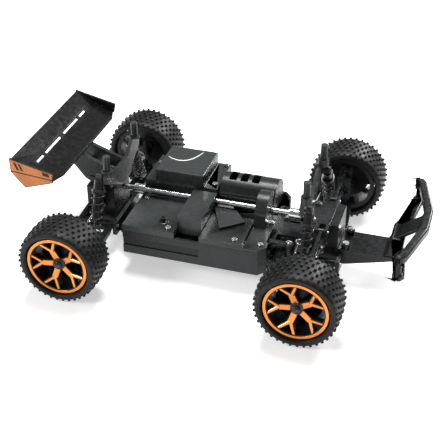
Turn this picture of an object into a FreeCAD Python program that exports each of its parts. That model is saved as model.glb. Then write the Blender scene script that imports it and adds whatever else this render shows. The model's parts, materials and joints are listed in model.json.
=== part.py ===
import FreeCAD, Part
import math
import os
import re
import Sketcher

# 1:18 four-wheel-drive off-road buggy without its body shell, in millimetres.
# +X points forwards, +Y to the driver's left, +Z up; Z = 0 is the floor under the tyres.
# Everything is drawn about the middle of the wheelbase and then set back by SHIFT,
# so that the finished part's origin lies under the middle of its overall length.

SIZES = {
    # overall layout
    "wheelbase": 176, "overall_width": 200, "nose_overhang": 75.5, "tail_overhang": 50,
    "ground_clearance": 14, "floor_thickness": 3, "wall_thickness": 2, "lid_thickness": 1.5,
    # wheels
    "tyre_radius": 31, "axle_height": 31, "tyre_width": 29.5, "tread_wall": 3.6,
    "rim_lip_radius": 23.2, "bead_radius": 21.3, "barrel_wall": 1.5, "rim_inset": 1.7,
    "spoke_depth": 4, "hub_radius": 5, "axle_radius": 2, "nut_radius": 3.6, "nut_length": 3,
    "axle_cup_radius": 4.2, "cup_start": 3.3, "cup_length": 10.3,
    # suspension links, shared by all four corners
    "arm_pivot_y": 22, "arm_pivot_z": 21, "arm_reach": 50, "arm_drop": 3, "arm_width": 24,
    "arm_depth": 3.6, "arm_end_width": 16, "link_rise": 26, "link_width": 4.6, "eye_radius": 2.6,
    "pin_radius": 1, "pin_gap": 0.2, "side_gap": 0.3, "barrel_radius": 3, "lug_width": 8,
    "bearing_radius": 4.5, "housing_radius": 6.5, "housing_length": 9, "housing_inset": 2,
    "kingpin_radius": 2.2, "web_half": 5.5,
    "steering_arm": 15.5, "ball_radius": 1.7, "ball_gap": 0.4, "rod_radius": 1.2,
    # shocks
    "shock_offset": 7.5, "shock_top_y": 30, "shock_top_z": 68, "shock_reach": 30,
    "shock_radius": 3.3, "shock_length": 32, "shock_rod_radius": 1, "spring_radius": 4.4,
    "spring_wire": 1.2, "spring_turns": 7, "seat_radius": 5.1, "seat_depth": 2, "seat_low": 44,
    # drive line
    "shaft_height": 44, "shaft_radius": 2, "shaft_cup_radius": 4, "spur_teeth": 28,
    "pinion_teeth": 15, "gear_module": 0.8, "gear_width": 5, "gear_place": 40, "motor_drop": 4,
    "motor_radius": 8.5, "motor_length": 30, "ring_radius": 8, "cup_radius": 4.2,
    "dogbone_radius": 1.3, "dogbone_ball": 2.2, "cup_bore": 3.3, "slot_width": 3.6,
    "cross_pin_radius": 0.6, "cross_pin_half": 3.4,
    # gearboxes and towers
    "gearbox_length": 23, "gearbox_half": 15, "gearbox_top": 49, "tower_back": 13,
    "tower_thickness": 3, "post_radius": 2.6, "post_y": 28, "front_post_gap": 10.5,
    "rear_post_gap": 13, "front_post_top": 90.6, "rear_post_top": 86.1, "collar_drop": 12,
    "collar_radius": 4.2, "tower_top": 74,
    # tub and covers
    "tub_half": 44, "tub_top": 34, "front_tub_gap": 36.5, "rear_tub_gap": 29,
    "battery_top": 39, "battery_length": 41, "battery_far": 3, "strap_length": 19,
    "strap_top": 48.5, "board_top": 38.5, "board_step": 36, "cover_flange": 50,
    "cover_top": 60, "cover_far": 46.5, "motor_cover_radius": 16, "motor_cover_y": 22.5,
    # steering
    "plate_z": 27.5, "plate_thickness": 2, "crank_y": 23, "crank_gap": 23, "crank_radius": 3.5,
    # wing and bumper
    "wing_half": 59.4, "wing_skin": 1.7, "wing_top": 91, "wing_low": 68, "bumper_half": 55,
    "bumper_top": 59, "bumper_bar": 6.5, "bumper_low": 38, "nose_plate_z": 28, "nose_half": 13,
    # screws
    "screw_head": 2.2,
}

doc = FreeCAD.newDocument("buggy")
sheet = doc.addObject("Spreadsheet::Sheet", "Sizes")
for row, (alias, size) in enumerate(SIZES.items(), start=1):
    sheet.set("A%d" % row, alias)
    sheet.set("B%d" % row, str(size))
    sheet.setAlias("B%d" % row, alias)
doc.recompute()

# Lengths that several pieces share, each worked out from the sheet.
FORMULAS = {
    "AXLE": "(wheelbase / 2)",
    "SHIFT": "((nose_overhang - tail_overhang) / 2)",
    "LIFT": "(tyre_radius - axle_height)",
    "WHEEL_Y": "((overall_width - tyre_width) / 2)",
    "HUB_Y": "(arm_pivot_y + arm_reach)",
    "HUB_Z": "(arm_pivot_z - arm_drop)",
    "LINK_Z": "(arm_pivot_z + link_rise)",
    "DRIVE_Z": "(axle_height + arm_drop)",
    "TIE_Z": "(axle_height + arm_drop)",
    "NOSE": "(wheelbase / 2 + nose_overhang)",
    "TAIL": "(-wheelbase / 2 - tail_overhang)",
    "TUB_REAR": "(-wheelbase / 2 + rear_tub_gap)",
    "TUB_FRONT": "(wheelbase / 2 - front_tub_gap)",
    "STRAP_REAR": "(-wheelbase / 2 + rear_tub_gap + battery_length)",
    "STRAP_FRONT": "(-wheelbase / 2 + rear_tub_gap + battery_length + strap_length)",
    "FLOOR_TOP": "(ground_clearance + floor_thickness)",
    "CRANK_X": "(wheelbase / 2 - crank_gap)",
    "BORE": "(pin_radius + pin_gap)",
    "BARREL": "(bead_radius - barrel_wall)",
    "BRACKET_TOP": "(arm_pivot_z + barrel_radius + 0.4)",
    "EAR_TOP": "(arm_pivot_z + link_rise + 3)",
    "MOTOR_Y": "sqrt((gear_module * (spur_teeth + pinion_teeth) / 2) ^ 2 - motor_drop ^ 2)",
    "MOTOR_Z": "(shaft_height - motor_drop)",
}


def formula(text):
    """A formula over the sheet's names, as FreeCAD writes it."""
    text = str(text)
    for name, meaning in FORMULAS.items():
        text = re.sub(r"\b%s\b" % name, meaning, text)
    return re.sub(r"\b([a-z]+_[a-z_]+|wheelbase)\b", r"Sizes.\1", text)


def bind(item, **sizes):
    """Tie properties to formulas; two underscores stand for a dot in a property's path."""
    for path, text in sizes.items():
        item.setExpression(path.replace("__", "."), formula(text))
    return item


def box(name, x, y, z):
    """A block from the low to the high formula of each of x, y and z."""
    item = doc.addObject("Part::Box", name)
    spans = {"Length": x, "Width": y, "Height": z}
    for path, (low, high) in spans.items():
        item.setExpression(path, formula("(%s) - (%s)" % (high, low)))
    bind(item, Placement__Base__x=x[0], Placement__Base__y=y[0], Placement__Base__z=z[0])
    return item


TURNS = {
    "X": FreeCAD.Rotation(FreeCAD.Vector(0, 1, 0), 90),
    "Y": FreeCAD.Rotation(FreeCAD.Vector(1, 0, 0), -90),
    "Z": FreeCAD.Rotation(),
}


def round_bar(name, axis, at, radius, length):
    """A cylinder along one axis, starting at the point 'at'."""
    item = doc.addObject("Part::Cylinder", name)
    item.Placement.Rotation = TURNS[axis]
    bind(item, Radius=radius, Height=length, Placement__Base__x=at[0], Placement__Base__y=at[1],
         Placement__Base__z=at[2])
    return item


def ball(name, at, radius):
    item = doc.addObject("Part::Sphere", name)
    return bind(item, Radius=radius, Placement__Base__x=at[0], Placement__Base__y=at[1],
                Placement__Base__z=at[2])


PLANES = {"XY": "XY_Plane", "XZ": "XZ_Plane", "YZ": "YZ_Plane"}


def profile(body, name, plane, points):
    """A closed outline of straight sides on one of the body's own planes."""
    sketch = body.newObject("Sketcher::SketchObject", name + "_outline")
    base = [item for item in body.Origin.OriginFeatures if item.Role == PLANES[plane]][0]
    sketch.AttachmentSupport = [(base, "")]
    sketch.MapMode = "FlatFace"
    count = len(points)
    corner = [FreeCAD.Vector(math.cos(2 * math.pi * k / count), math.sin(2 * math.pi * k / count), 0)
              for k in range(count)]
    for k in range(count):
        sketch.addGeometry(Part.LineSegment(corner[k], corner[(k + 1) % count]), False)
    for k in range(count):
        sketch.addConstraint(Sketcher.Constraint("Coincident", k, 2, (k + 1) % count, 1))
    for k, point in enumerate(points):
        for kind, text in zip(("DistanceX", "DistanceY"), point):
            index = sketch.addConstraint(Sketcher.Constraint(kind, -1, 1, k, 1, 1.0 + k))
            sketch.setExpression("Constraints[%d]" % index, formula(text))
    return sketch


def slab(name, plane, points, low, high):
    """An outline on a plane, padded from the low to the high formula across that plane."""
    body = doc.addObject("PartDesign::Body", name)
    sketch = profile(body, name, plane, points)
    # an outline on the XZ plane faces -Y, so its pad starts from the high side
    start = "-(%s)" % high if plane == "XZ" else low
    sketch.setExpression("AttachmentOffset.Base.z", formula(start))
    pad = body.newObject("PartDesign::Pad", name + "_pad")
    pad.Profile = sketch
    pad.setExpression("Length", formula("(%s) - (%s)" % (high, low)))
    body.Tip = pad
    return body


def turned(name, points):
    """A ring or disc: an outline of radius and height turned about the Z axis."""
    body = doc.addObject("PartDesign::Body", name)
    sketch = profile(body, name, "XZ", points)
    spin = body.newObject("PartDesign::Revolution", name + "_turn")
    spin.Profile = sketch
    spin.ReferenceAxis = (sketch, ["V_Axis"])
    spin.Angle = 360
    body.Tip = spin
    return body


def joined(name, *pieces):
    item = doc.addObject("Part::MultiFuse", name)
    item.Shapes = list(pieces)
    return item


def cut(name, base, *tools):
    item = doc.addObject("Part::Cut", name)
    item.Base = base
    item.Tool = tools[0] if len(tools) == 1 else joined(name + "_tools", *tools)
    return item


def common(name, first, second):
    item = doc.addObject("Part::MultiCommon", name)
    item.Shapes = [first, second]
    return item


def mirrored(name, source, normal):
    item = doc.addObject("Part::Mirroring", name)
    item.Source = source
    item.Normal = normal
    return item


def group(name, *pieces):
    """Separate solids that share one node."""
    item = doc.addObject("Part::Compound", name)
    item.Links = list(pieces)
    return item


NODES = []
ACROSS = FreeCAD.Vector(0, 1, 0)


def node(label, item, x="0", turn=0):
    """Give a finished piece its name, its place along the car and its height above the floor."""
    holder = group(label + "_placed", item)
    holder.Label = label
    holder.Placement.Rotation = FreeCAD.Rotation(FreeCAD.Vector(0, 0, 1), turn)
    bind(holder, Placement__Base__x="%s - SHIFT" % x, Placement__Base__z="LIFT")
    NODES.append(holder)
    return holder


def four_corners(name, item, corners=("fl", "fr", "rl", "rr")):
    """The front left piece, its mirror image, and both turned round to the rear axle."""
    other = mirrored(name + "_right", item, ACROSS)
    places = {"fl": (item, "AXLE", 0), "fr": (other, "AXLE", 0),
              "rl": (other, "-AXLE", 180), "rr": (item, "-AXLE", 180)}
    for corner in corners:
        piece, x, turn = places[corner]
        node("%s_%s" % (name, corner), piece, x, turn)


def sloped_bar(name, x, start, end, half_height):
    """A flat bar across the car, from one (y, z) to another."""
    (y0, z0), (y1, z1) = start, end
    points = [(y0, "%s - %s" % (z0, half_height)), (y1, "%s - %s" % (z1, half_height)),
              (y1, "%s + %s" % (z1, half_height)), (y0, "%s + %s" % (z0, half_height))]
    return slab(name, "YZ", points, x[0], x[1])


def toothed_wheel(name, teeth, module, width, bore):
    """A spur gear along +X with straight-sided teeth, thinner than their gaps."""
    pitch = math.pi * module
    radius = module * teeth / 2
    root, tip = radius - 0.9 * module, radius + 0.7 * module
    points = []
    for k in range(teeth):
        middle = 2 * math.pi * k / teeth
        for reach, share in ((root, -0.24), (tip, -0.12), (tip, 0.12), (root, 0.24)):
            angle = middle + share * pitch / radius
            points.append(FreeCAD.Vector(0, reach * math.cos(angle), reach * math.sin(angle)))
    blank = Part.Face(Part.makePolygon(points + points[:1])).extrude(FreeCAD.Vector(width, 0, 0))
    if bore > 0:
        blank = blank.cut(Part.makeCylinder(bore, width, FreeCAD.Vector(), FreeCAD.Vector(1, 0, 0)))
    item = doc.addObject("Part::Feature", name)
    item.Shape = blank
    return item


# ---------------------------------------------------------------- suspension corners
# Lower arm: a flat tapered moulding with a window, a hinge barrel at its root, a fork for the hub
# and a slot for the shock's lower eye. Its outer steel pin is a second solid.
arm_plan = slab("arm_plan", "XY", [
    ("-arm_width / 2", "arm_pivot_y + 4"), ("-arm_width / 2", "arm_pivot_y"),
    ("arm_width / 2", "arm_pivot_y"), ("arm_end_width / 2", "HUB_Y - 10"), ("arm_end_width / 2", "HUB_Y"),
    ("-arm_end_width / 2", "HUB_Y"), ("-arm_end_width / 2", "HUB_Y - 8"),
    ("-shock_offset - 5.5", "arm_pivot_y + shock_reach + 6"),
    ("-shock_offset - 5.5", "arm_pivot_y + 10")], "0", "axle_height")
arm_side = sloped_bar("arm_side", ("-arm_width", "arm_width"), ("arm_pivot_y", "arm_pivot_z"),
                      ("HUB_Y", "HUB_Z"), "arm_depth / 2")
arm_flat = common("arm_flat", arm_plan, arm_side)
arm_root = round_bar("arm_root", "X", ("-arm_width / 2", "arm_pivot_y", "arm_pivot_z"),
                     "barrel_radius", "arm_width")
arm_end = round_bar("arm_end", "X", ("-arm_end_width / 2", "HUB_Y", "HUB_Z"), "barrel_radius",
                    "arm_end_width")
arm_window = slab("arm_window", "XY", [
    ("-arm_width / 2 + 4", "arm_pivot_y + 6"), ("arm_width / 2 - 4", "arm_pivot_y + 6"),
    ("arm_end_width / 2 - 3", "HUB_Y - 13"), ("-shock_offset + 6.5", "HUB_Y - 13"),
    ("-shock_offset + 6.5", "arm_pivot_y + 15"), ("-arm_width / 2 + 4", "arm_pivot_y + 13")],
    "0", "axle_height")
arm_fork = box("arm_fork", ("-lug_width / 2 - side_gap", "lug_width / 2 + side_gap"),
               ("HUB_Y - 9.5", "HUB_Y + 6"), ("0", "axle_height"))
shock_slot = box("shock_slot", ("-shock_offset - 3", "-shock_offset + 3"),
                 ("arm_pivot_y + shock_reach - 5", "arm_pivot_y + shock_reach + 4.5"),
                 ("0", "axle_height"))
ARM_Z_AT_SHOCK = "(arm_pivot_z - arm_drop * shock_reach / arm_reach)"
root_bore = round_bar("root_bore", "X", ("-arm_width", "arm_pivot_y", "arm_pivot_z"), "BORE",
                      "2 * arm_width")
arm_body = cut("arm_body", joined("arm_solid", arm_flat, arm_root, arm_end), arm_window, arm_fork,
               shock_slot, root_bore)
eye_pin = round_bar("eye_pin", "X", ("-shock_offset - 3", "arm_pivot_y + shock_reach",
                                     ARM_Z_AT_SHOCK), "pin_radius", "6")
outer_pin = round_bar("outer_pin", "X", ("-lug_width / 2 - side_gap", "HUB_Y", "HUB_Z"),
                      "pin_radius", "lug_width + 2 * side_gap")
four_corners("lower_arm", joined("arm_with_pins", arm_body, eye_pin, outer_pin))

# Upper link: a flat bar with an eye at each end, as long as the lower arm and parallel to it.
link_bar = sloped_bar("link_bar", ("-link_width / 4", "link_width / 4"),
                      ("arm_pivot_y", "LINK_Z"), ("HUB_Y", "LINK_Z - arm_drop"), "1.5")
link_eyes = [round_bar("link_eye_%s" % name, "X", ("-link_width / 2", y, z), "eye_radius",
                       "link_width")
             for name, y, z in (("in", "arm_pivot_y", "LINK_Z"),
                                ("out", "HUB_Y", "LINK_Z - arm_drop"))]
link_bores = [round_bar("link_bore_%s" % name, "X", ("-link_width", y, z), "BORE",
                        "2 * link_width")
              for name, y, z in (("in", "arm_pivot_y", "LINK_Z"),
                                 ("out", "HUB_Y", "LINK_Z - arm_drop"))]
four_corners("upper_link", cut("link_body", joined("link_solid", link_bar, *link_eyes),
                               *link_bores))

# Upright: lower lug on the arm's pin, upper cheeks with a pin for the link.
lug = round_bar("lug", "X", ("-lug_width / 2", "HUB_Y", "HUB_Z"), "barrel_radius", "lug_width")
lug_bore = round_bar("lug_bore", "X", ("-lug_width", "HUB_Y", "HUB_Z"), "BORE", "2 * lug_width")
cheek_space = box("cheek_space", ("-link_width / 2 - side_gap", "link_width / 2 + side_gap"),
                  ("HUB_Y - 12", "HUB_Y + 12"), ("LINK_Z - arm_drop - 3.1", "LINK_Z + 12"))
cheeks = box("cheeks", ("-link_width / 2 - 2.6", "link_width / 2 + 2.6"),
             ("HUB_Y - 3", "HUB_Y + 3"), ("LINK_Z - arm_drop - 5.8", "LINK_Z - arm_drop + 2.6"))
link_pin = round_bar("link_pin", "X", ("-link_width / 2 - 1", "HUB_Y", "LINK_Z - arm_drop"),
                     "pin_radius", "link_width + 2")

# Front: a C-shaped carrier, open outwards, that holds the steering knuckle between two ears.
ear_low = box("ear_low", ("-lug_width / 2", "lug_width / 2"), ("HUB_Y - 7.5", "HUB_Y + 3.5"),
              ("HUB_Z - 0.5", "axle_height - housing_radius - 0.7"))
ear_high = box("ear_high", ("-link_width / 2 - 2.6", "link_width / 2 + 2.6"),
               ("HUB_Y - 7.5", "HUB_Y + 3.5"),
               ("axle_height + housing_radius + 0.7", "LINK_Z - arm_drop - 3.1"))
web = box("web", ("-web_half", "web_half"), ("HUB_Y - 7.5", "HUB_Y - 4.5"),
          ("HUB_Z - 0.5", "LINK_Z - arm_drop - 3.1"))
web_hole = round_bar("web_hole", "Y", ("0", "HUB_Y - 9", "axle_height"), "4.3", "6")
fork_relief = box("fork_relief", ("-9", "-lug_width / 2 + 0.01"), ("HUB_Y - 9", "HUB_Y - 3"),
                  ("0", "HUB_Z + 4.2"))
fork_relief_b = box("fork_relief_b", ("lug_width / 2 - 0.01", "9"), ("HUB_Y - 9", "HUB_Y - 3"),
                    ("0", "HUB_Z + 4.2"))
kingpin_bores = round_bar("kingpin_bores", "Z", ("0", "HUB_Y", "HUB_Z + 1.8"),
                          "kingpin_radius + 0.15", "link_rise")
carrier = joined("carrier_solid", lug, ear_low, ear_high, web, cheeks)
carrier = cut("carrier_body", carrier, lug_bore, cheek_space, web_hole, kingpin_bores,
              fork_relief, fork_relief_b)
four_corners("hub_carrier", joined("carrier_with_pin", carrier, link_pin), ("fl", "fr"))

# Rear: one upright with the bearing housing moulded in.
housing = round_bar("housing", "Y", ("0", "HUB_Y - housing_inset", "axle_height"), "housing_radius",
                    "housing_length")
housing_bore = round_bar("housing_bore", "Y", ("0", "HUB_Y - 5", "axle_height"),
                         "bearing_radius", "housing_length + 5")
upright_low = box("upright_low", ("-lug_width / 2", "lug_width / 2"), ("HUB_Y - 3", "HUB_Y + 3"),
                  ("HUB_Z", "axle_height"))
upright_high = box("upright_high", ("-link_width / 2 - 2.6", "link_width / 2 + 2.6"),
                   ("HUB_Y - 3", "HUB_Y + 3"), ("axle_height", "LINK_Z - arm_drop - 3.1"))
upright = joined("upright_solid", lug, housing, upright_low, upright_high, cheeks)
upright = cut("upright_body", upright, lug_bore, cheek_space, housing_bore)
four_corners("rear_upright", joined("upright_with_pin", upright, link_pin), ("rl", "rr"))

# Steering knuckle: bearing housing, two kingpin stubs and an arm to the rear with a ball.
stub_high = round_bar("stub_high", "Z", ("0", "HUB_Y", "axle_height + housing_radius - 0.8"),
                      "kingpin_radius", "4")
stub_low = round_bar("stub_low", "Z", ("0", "HUB_Y", "HUB_Z + 2.1"), "kingpin_radius",
                     "axle_height - housing_radius + 0.8 - HUB_Z - 2.1")
knuckle_arm = box("knuckle_arm", ("-steering_arm - 2", "-housing_radius + 2"),
                  ("HUB_Y - 2", "HUB_Y + 2"), ("axle_height - 5", "axle_height - 2.6"))
knuckle_ball = ball("knuckle_ball", ("-steering_arm", "HUB_Y", "axle_height"), "ball_radius")
knuckle_stud = round_bar("knuckle_stud", "Z", ("-steering_arm", "HUB_Y", "axle_height - 4"),
                         "0.9", "4")
knuckle = cut("knuckle_body", joined("knuckle_solid", housing, stub_high, stub_low, knuckle_arm,
                                     knuckle_ball, knuckle_stud), housing_bore)
four_corners("steering_knuckle", knuckle, ("fl", "fr"))

# Drive shaft to each wheel: a steel rod with a ball and a cross pin at each end.
bone_rod = round_bar("bone_rod", "Y", ("0", "arm_pivot_y", "DRIVE_Z"), "dogbone_radius",
                     "sqrt(arm_reach ^ 2 + arm_drop ^ 2)")
bind(bone_rod, Placement__Rotation__Angle="-90 deg - atan(arm_drop / arm_reach)")
bone_rod.Placement.Rotation.Axis = FreeCAD.Vector(1, 0, 0)
bone_ends = []
for name, y, z in (("in", "arm_pivot_y", "DRIVE_Z"), ("out", "HUB_Y", "axle_height")):
    bone_ends.append(ball("bone_ball_" + name, ("0", y, z), "dogbone_ball"))
    bone_ends.append(round_bar("bone_pin_" + name, "X", ("-cross_pin_half", y, z),
                               "cross_pin_radius", "2 * cross_pin_half"))
four_corners("drive_shaft", joined("bone", bone_rod, *bone_ends))

# Wheel: a spoked rim and its tyre, turned about Z with the outer face up, then stood upright.
# The stub axle, with its slotted cup and its nut, shares the rim's node as separate solids.
HALF = "(tyre_width / 2)"
FACE = "(tyre_width / 2 - rim_inset)"
rim_turned = turned("rim_turned", [
    ("BARREL", "-%s + 3" % HALF), ("rim_lip_radius", "-%s + 3" % HALF),
    ("rim_lip_radius", "-%s + 4.4" % HALF), ("bead_radius", "-%s + 4.6" % HALF),
    ("bead_radius", "%s - 1.6" % FACE), ("rim_lip_radius", "%s - 1.4" % FACE),
    ("rim_lip_radius", FACE), ("BARREL + 0.4", FACE), ("BARREL", "%s - 2" % FACE),
    ("BARREL", "%s - 3" % FACE), ("hub_radius", "%s - 4.5" % FACE),
    ("axle_radius + 0.05", "%s - 4.5" % FACE),
    ("axle_radius + 0.05", "%s - 4.5 - 2 * spoke_depth" % FACE),
    ("hub_radius", "%s - 4.5 - 2 * spoke_depth" % FACE),
    ("hub_radius", "%s - 4.5 - spoke_depth" % FACE),
    ("BARREL", "%s - 3 - spoke_depth" % FACE)])
spoke_window = slab("spoke_window", "XY", [
    ("hub_radius + 2.4", "-0.6"), ("hub_radius + 2.4", "0.6"), ("BARREL - 5", "7.6"),
    ("BARREL - 1.6", "5.2"), ("BARREL - 1.6", "-5.2"), ("BARREL - 5", "-7.6")],
    "-tyre_width", "tyre_width")
windows = []
for k in range(5):
    window = doc.addObject("Part::Compound", "spoke_window_%d" % k)
    window.Links = [spoke_window]
    window.Placement.Rotation = FreeCAD.Rotation(FreeCAD.Vector(0, 0, 1), 72 * k)
    windows.append(window)
rim = cut("rim", rim_turned, *windows)
axle_cup = round_bar("axle_cup", "Z", ("0", "0", "HUB_Y - cup_start - WHEEL_Y"),
                     "axle_cup_radius", "cup_length")
axle_bar = round_bar("axle_bar", "Z", ("0", "0", "HUB_Y - WHEEL_Y"), "axle_radius",
                     "WHEEL_Y - HUB_Y + %s - 4.5 + nut_length" % FACE)
axle_bore = round_bar("axle_bore", "Z", ("0", "0", "HUB_Y - 4 - WHEEL_Y"), "cup_bore", "9.5")
axle_slot = box("axle_slot", ("-axle_cup_radius - 1", "axle_cup_radius + 1"),
                ("-slot_width / 2", "slot_width / 2"),
                ("HUB_Y - 4 - WHEEL_Y", "HUB_Y + 4.5 - WHEEL_Y"))
axle = cut("axle", joined("axle_solid", axle_cup, axle_bar), axle_bore, axle_slot)
nut_blank = doc.addObject("Part::Prism", "nut_blank")
nut_blank.Polygon = 6
bind(nut_blank, Circumradius="nut_radius", Height="nut_length - 0.1",
     Placement__Base__z="%s - 4.4" % FACE)
nut_bore = round_bar("nut_bore", "Z", ("0", "0", "0"), "axle_radius + 0.05", "tyre_width")
nut = cut("nut", nut_blank, nut_bore)
wheel_parts = group("rim_axle_nut", rim, axle, nut)

tyre_turned = turned("tyre_turned", [
    ("bead_radius + 0.05", "-%s + 4.7" % HALF), ("rim_lip_radius + 0.1", "-%s + 4.5" % HALF),
    ("rim_lip_radius + 0.1", "-%s + 2.8" % HALF),
    ("rim_lip_radius + 2.5", "-%s + 0.5" % HALF), ("tyre_radius - 3.5", "-%s" % HALF),
    ("tyre_radius - 1.2", "-%s + 0.8" % HALF), ("tyre_radius", "-%s + 3.2" % HALF),
    ("tyre_radius", "%s - 3.2" % HALF), ("tyre_radius - 1.2", "%s - 0.8" % HALF),
    ("tyre_radius - 3.5", HALF), ("rim_lip_radius + 2.5", "%s - 0.5" % HALF),
    ("rim_lip_radius + 0.1", "%s - 1.6" % HALF), ("rim_lip_radius + 0.1", "%s - 1.5" % FACE),
    ("bead_radius + 0.05", "%s - 1.75" % FACE),
    ("bead_radius + 0.05", "%s - 4" % FACE), ("tyre_radius - tread_wall", "%s - 5" % FACE),
    ("tyre_radius - tread_wall", "-%s + 6" % HALF), ("bead_radius + 0.05", "-%s + 6.5" % HALF)])


def upright_wheel(name, item, side):
    """Stand a wheel piece on the floor with its outer face towards +Y or -Y."""
    holder = group("%s_%s" % (name, "left" if side > 0 else "right"), item)
    holder.Placement.Rotation = FreeCAD.Rotation(FreeCAD.Vector(1, 0, 0), -90 * side)
    bind(holder, Placement__Base__y="%d * WHEEL_Y" % side, Placement__Base__z="axle_height")
    return holder


for name, item in (("rim", wheel_parts), ("tyre", tyre_turned)):
    left = upright_wheel(name, item, 1)
    right = upright_wheel(name, item, -1)
    for corner, piece, x in (("fl", left, "AXLE"), ("fr", right, "AXLE"),
                             ("rl", left, "-AXLE"), ("rr", right, "-AXLE")):
        node("%s_%s" % (name, corner), piece, x)

# Shock: oil-filled body hung from the tower, piston rod to the arm, coil spring round both.
# Drawn along -Z from the top eye, then leaned outwards.
SHOCK_Z = "(shock_top_z - (%s))" % ARM_Z_AT_SHOCK
SHOCK_Y = "(arm_pivot_y + shock_reach - shock_top_y)"
SHOCK_L = "sqrt(%s ^ 2 + %s ^ 2)" % (SHOCK_Y, SHOCK_Z)
shock_parts = [
    round_bar("shock_eye", "X", ("-2.5", "0", "0"), "barrel_radius", "5"),
    round_bar("shock_cap", "Z", ("0", "0", "-9"), "shock_radius + 0.5", "7"),
    round_bar("shock_tube", "Z", ("0", "0", "-shock_length"), "shock_radius", "shock_length - 3"),
    round_bar("shock_collar", "Z", ("0", "0", "-9 - seat_depth"), "seat_radius", "seat_depth"),
]
shock_holes = [
    round_bar("shock_eye_bore", "X", ("-5", "0", "0"), "BORE", "10"),
    round_bar("shock_bore", "Z", ("0", "0", "-shock_length + 2"), "shock_radius - 1",
              "shock_length - 10"),
    round_bar("shock_gland", "Z", ("0", "0", "-shock_length - 1"), "shock_rod_radius + 0.1", "4"),
]
shock_body = cut("shock_solid", joined("shock_outside", *shock_parts), *shock_holes)
rod_parts = [
    round_bar("piston", "Z", ("0", "0", "-shock_length * 0.66"), "shock_radius - 1.15", "2"),
    round_bar("piston_rod", "Z", ("0", "0", "-%s + 2" % SHOCK_L), "shock_rod_radius",
              "%s - 2 - shock_length * 0.66 + 1" % SHOCK_L),
    round_bar("spring_seat", "Z", ("0", "0", "-seat_low - seat_depth"), "seat_radius",
              "seat_depth"),
    round_bar("rod_end", "Z", ("0", "0", "-%s + 1" % SHOCK_L), "2",
              "%s - 1 - seat_low" % SHOCK_L),
    round_bar("rod_eye", "X", ("-2.5", "0", "-%s" % SHOCK_L), "barrel_radius", "5"),
]
rod_bore = round_bar("rod_bore", "X", ("-5", "0", "-%s" % SHOCK_L), "pin_radius + 0.6", "10")
shock_rod = cut("shock_rod_solid", joined("shock_rod_outside", *rod_parts), rod_bore)

spring_path = doc.addObject("Part::Helix", "spring_path")
SPRING_LENGTH = "(seat_low - 9 - seat_depth - spring_wire - 0.4)"
bind(spring_path, Pitch="%s / spring_turns" % SPRING_LENGTH, Height=SPRING_LENGTH,
     Radius="spring_radius")
spring_section = doc.addObject("Part::Circle", "spring_section")
spring_section.Placement.Rotation = FreeCAD.Rotation(FreeCAD.Vector(1, 0, 0), 90)
bind(spring_section, Radius="spring_wire / 2", Placement__Base__x="spring_radius")
spring_coil = doc.addObject("Part::Sweep", "spring_coil")
spring_coil.Sections = [spring_section]
spring_coil.Spine = (spring_path, [])
spring_coil.Solid = True
spring_coil.Frenet = True
spring_stand = group("spring_stand", spring_coil)
bind(spring_stand, Placement__Base__z="-seat_low + spring_wire / 2 + 0.2")


def leaned(name, item):
    """Lean a piece of the left front shock outwards about its top eye."""
    holder = group(name, item)
    holder.Placement.Rotation = FreeCAD.Rotation(FreeCAD.Vector(1, 0, 0), 10)
    bind(holder, Placement__Rotation__Angle="atan(%s / %s)" % (SHOCK_Y, SHOCK_Z),
         Placement__Base__x="-shock_offset", Placement__Base__y="shock_top_y",
         Placement__Base__z="shock_top_z")
    return holder


four_corners("shock_body", leaned("shock_leaned", shock_body))
four_corners("shock_rod", leaned("rod_leaned", shock_rod))
spring_left = leaned("spring_leaned", spring_stand)
spring_right = mirrored("spring_mirrored", spring_left, ACROSS)
springs = []
for name, item, x, turn in (("fl", spring_left, "AXLE", 0), ("fr", spring_right, "AXLE", 0),
                            ("rl", spring_right, "-AXLE", 180), ("rr", spring_left, "-AXLE", 180)):
    holder = group("spring_" + name, item)
    holder.Placement.Rotation = FreeCAD.Rotation(FreeCAD.Vector(0, 0, 1), turn)
    springs.append(bind(holder, Placement__Base__x=x))
node("coil_springs", group("springs", *springs))

# ---------------------------------------------------------------- steering linkage
# Relay plate: an I-shaped plate that carries both tie rods' inner balls.
PLATE_TOP = "(plate_z + plate_thickness)"
relay_blank = slab("relay_blank", "XY", [
    ("CRANK_X - steering_arm - 3", "-crank_y - 3"), ("CRANK_X - steering_arm + 3", "-crank_y - 3"),
    ("CRANK_X - steering_arm + 3", "-9"), ("AXLE - steering_arm - 3", "-9"),
    ("AXLE - steering_arm - 3", "-arm_pivot_y - 2.5"),
    ("AXLE - steering_arm + 2.3", "-arm_pivot_y - 2.5"),
    ("AXLE - steering_arm + 2.3", "arm_pivot_y + 2.5"),
    ("AXLE - steering_arm - 3", "arm_pivot_y + 2.5"), ("AXLE - steering_arm - 3", "9"),
    ("CRANK_X - steering_arm + 3", "9"), ("CRANK_X - steering_arm + 3", "crank_y + 3"),
    ("CRANK_X - steering_arm - 3", "crank_y + 3")], "plate_z", PLATE_TOP)
relay_parts = [relay_blank]
for name, side in (("left", "1"), ("right", "-1")):
    inner = ("AXLE - steering_arm", "%s * arm_pivot_y" % side)
    relay_parts.append(ball("relay_ball_" + name, inner + ("TIE_Z",), "ball_radius"))
    relay_parts.append(round_bar("relay_stud_" + name, "Z", inner + ("plate_z + 1",), "0.9",
                                 "TIE_Z - plate_z - 1"))
    relay_parts.append(round_bar(
        "relay_pin_" + name, "Z", ("CRANK_X - steering_arm", "%s * crank_y" % side,
                                   "plate_z + 1"), "1.2", "plate_thickness + 2.6"))
node("steering_relay", joined("relay", *relay_parts))

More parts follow.
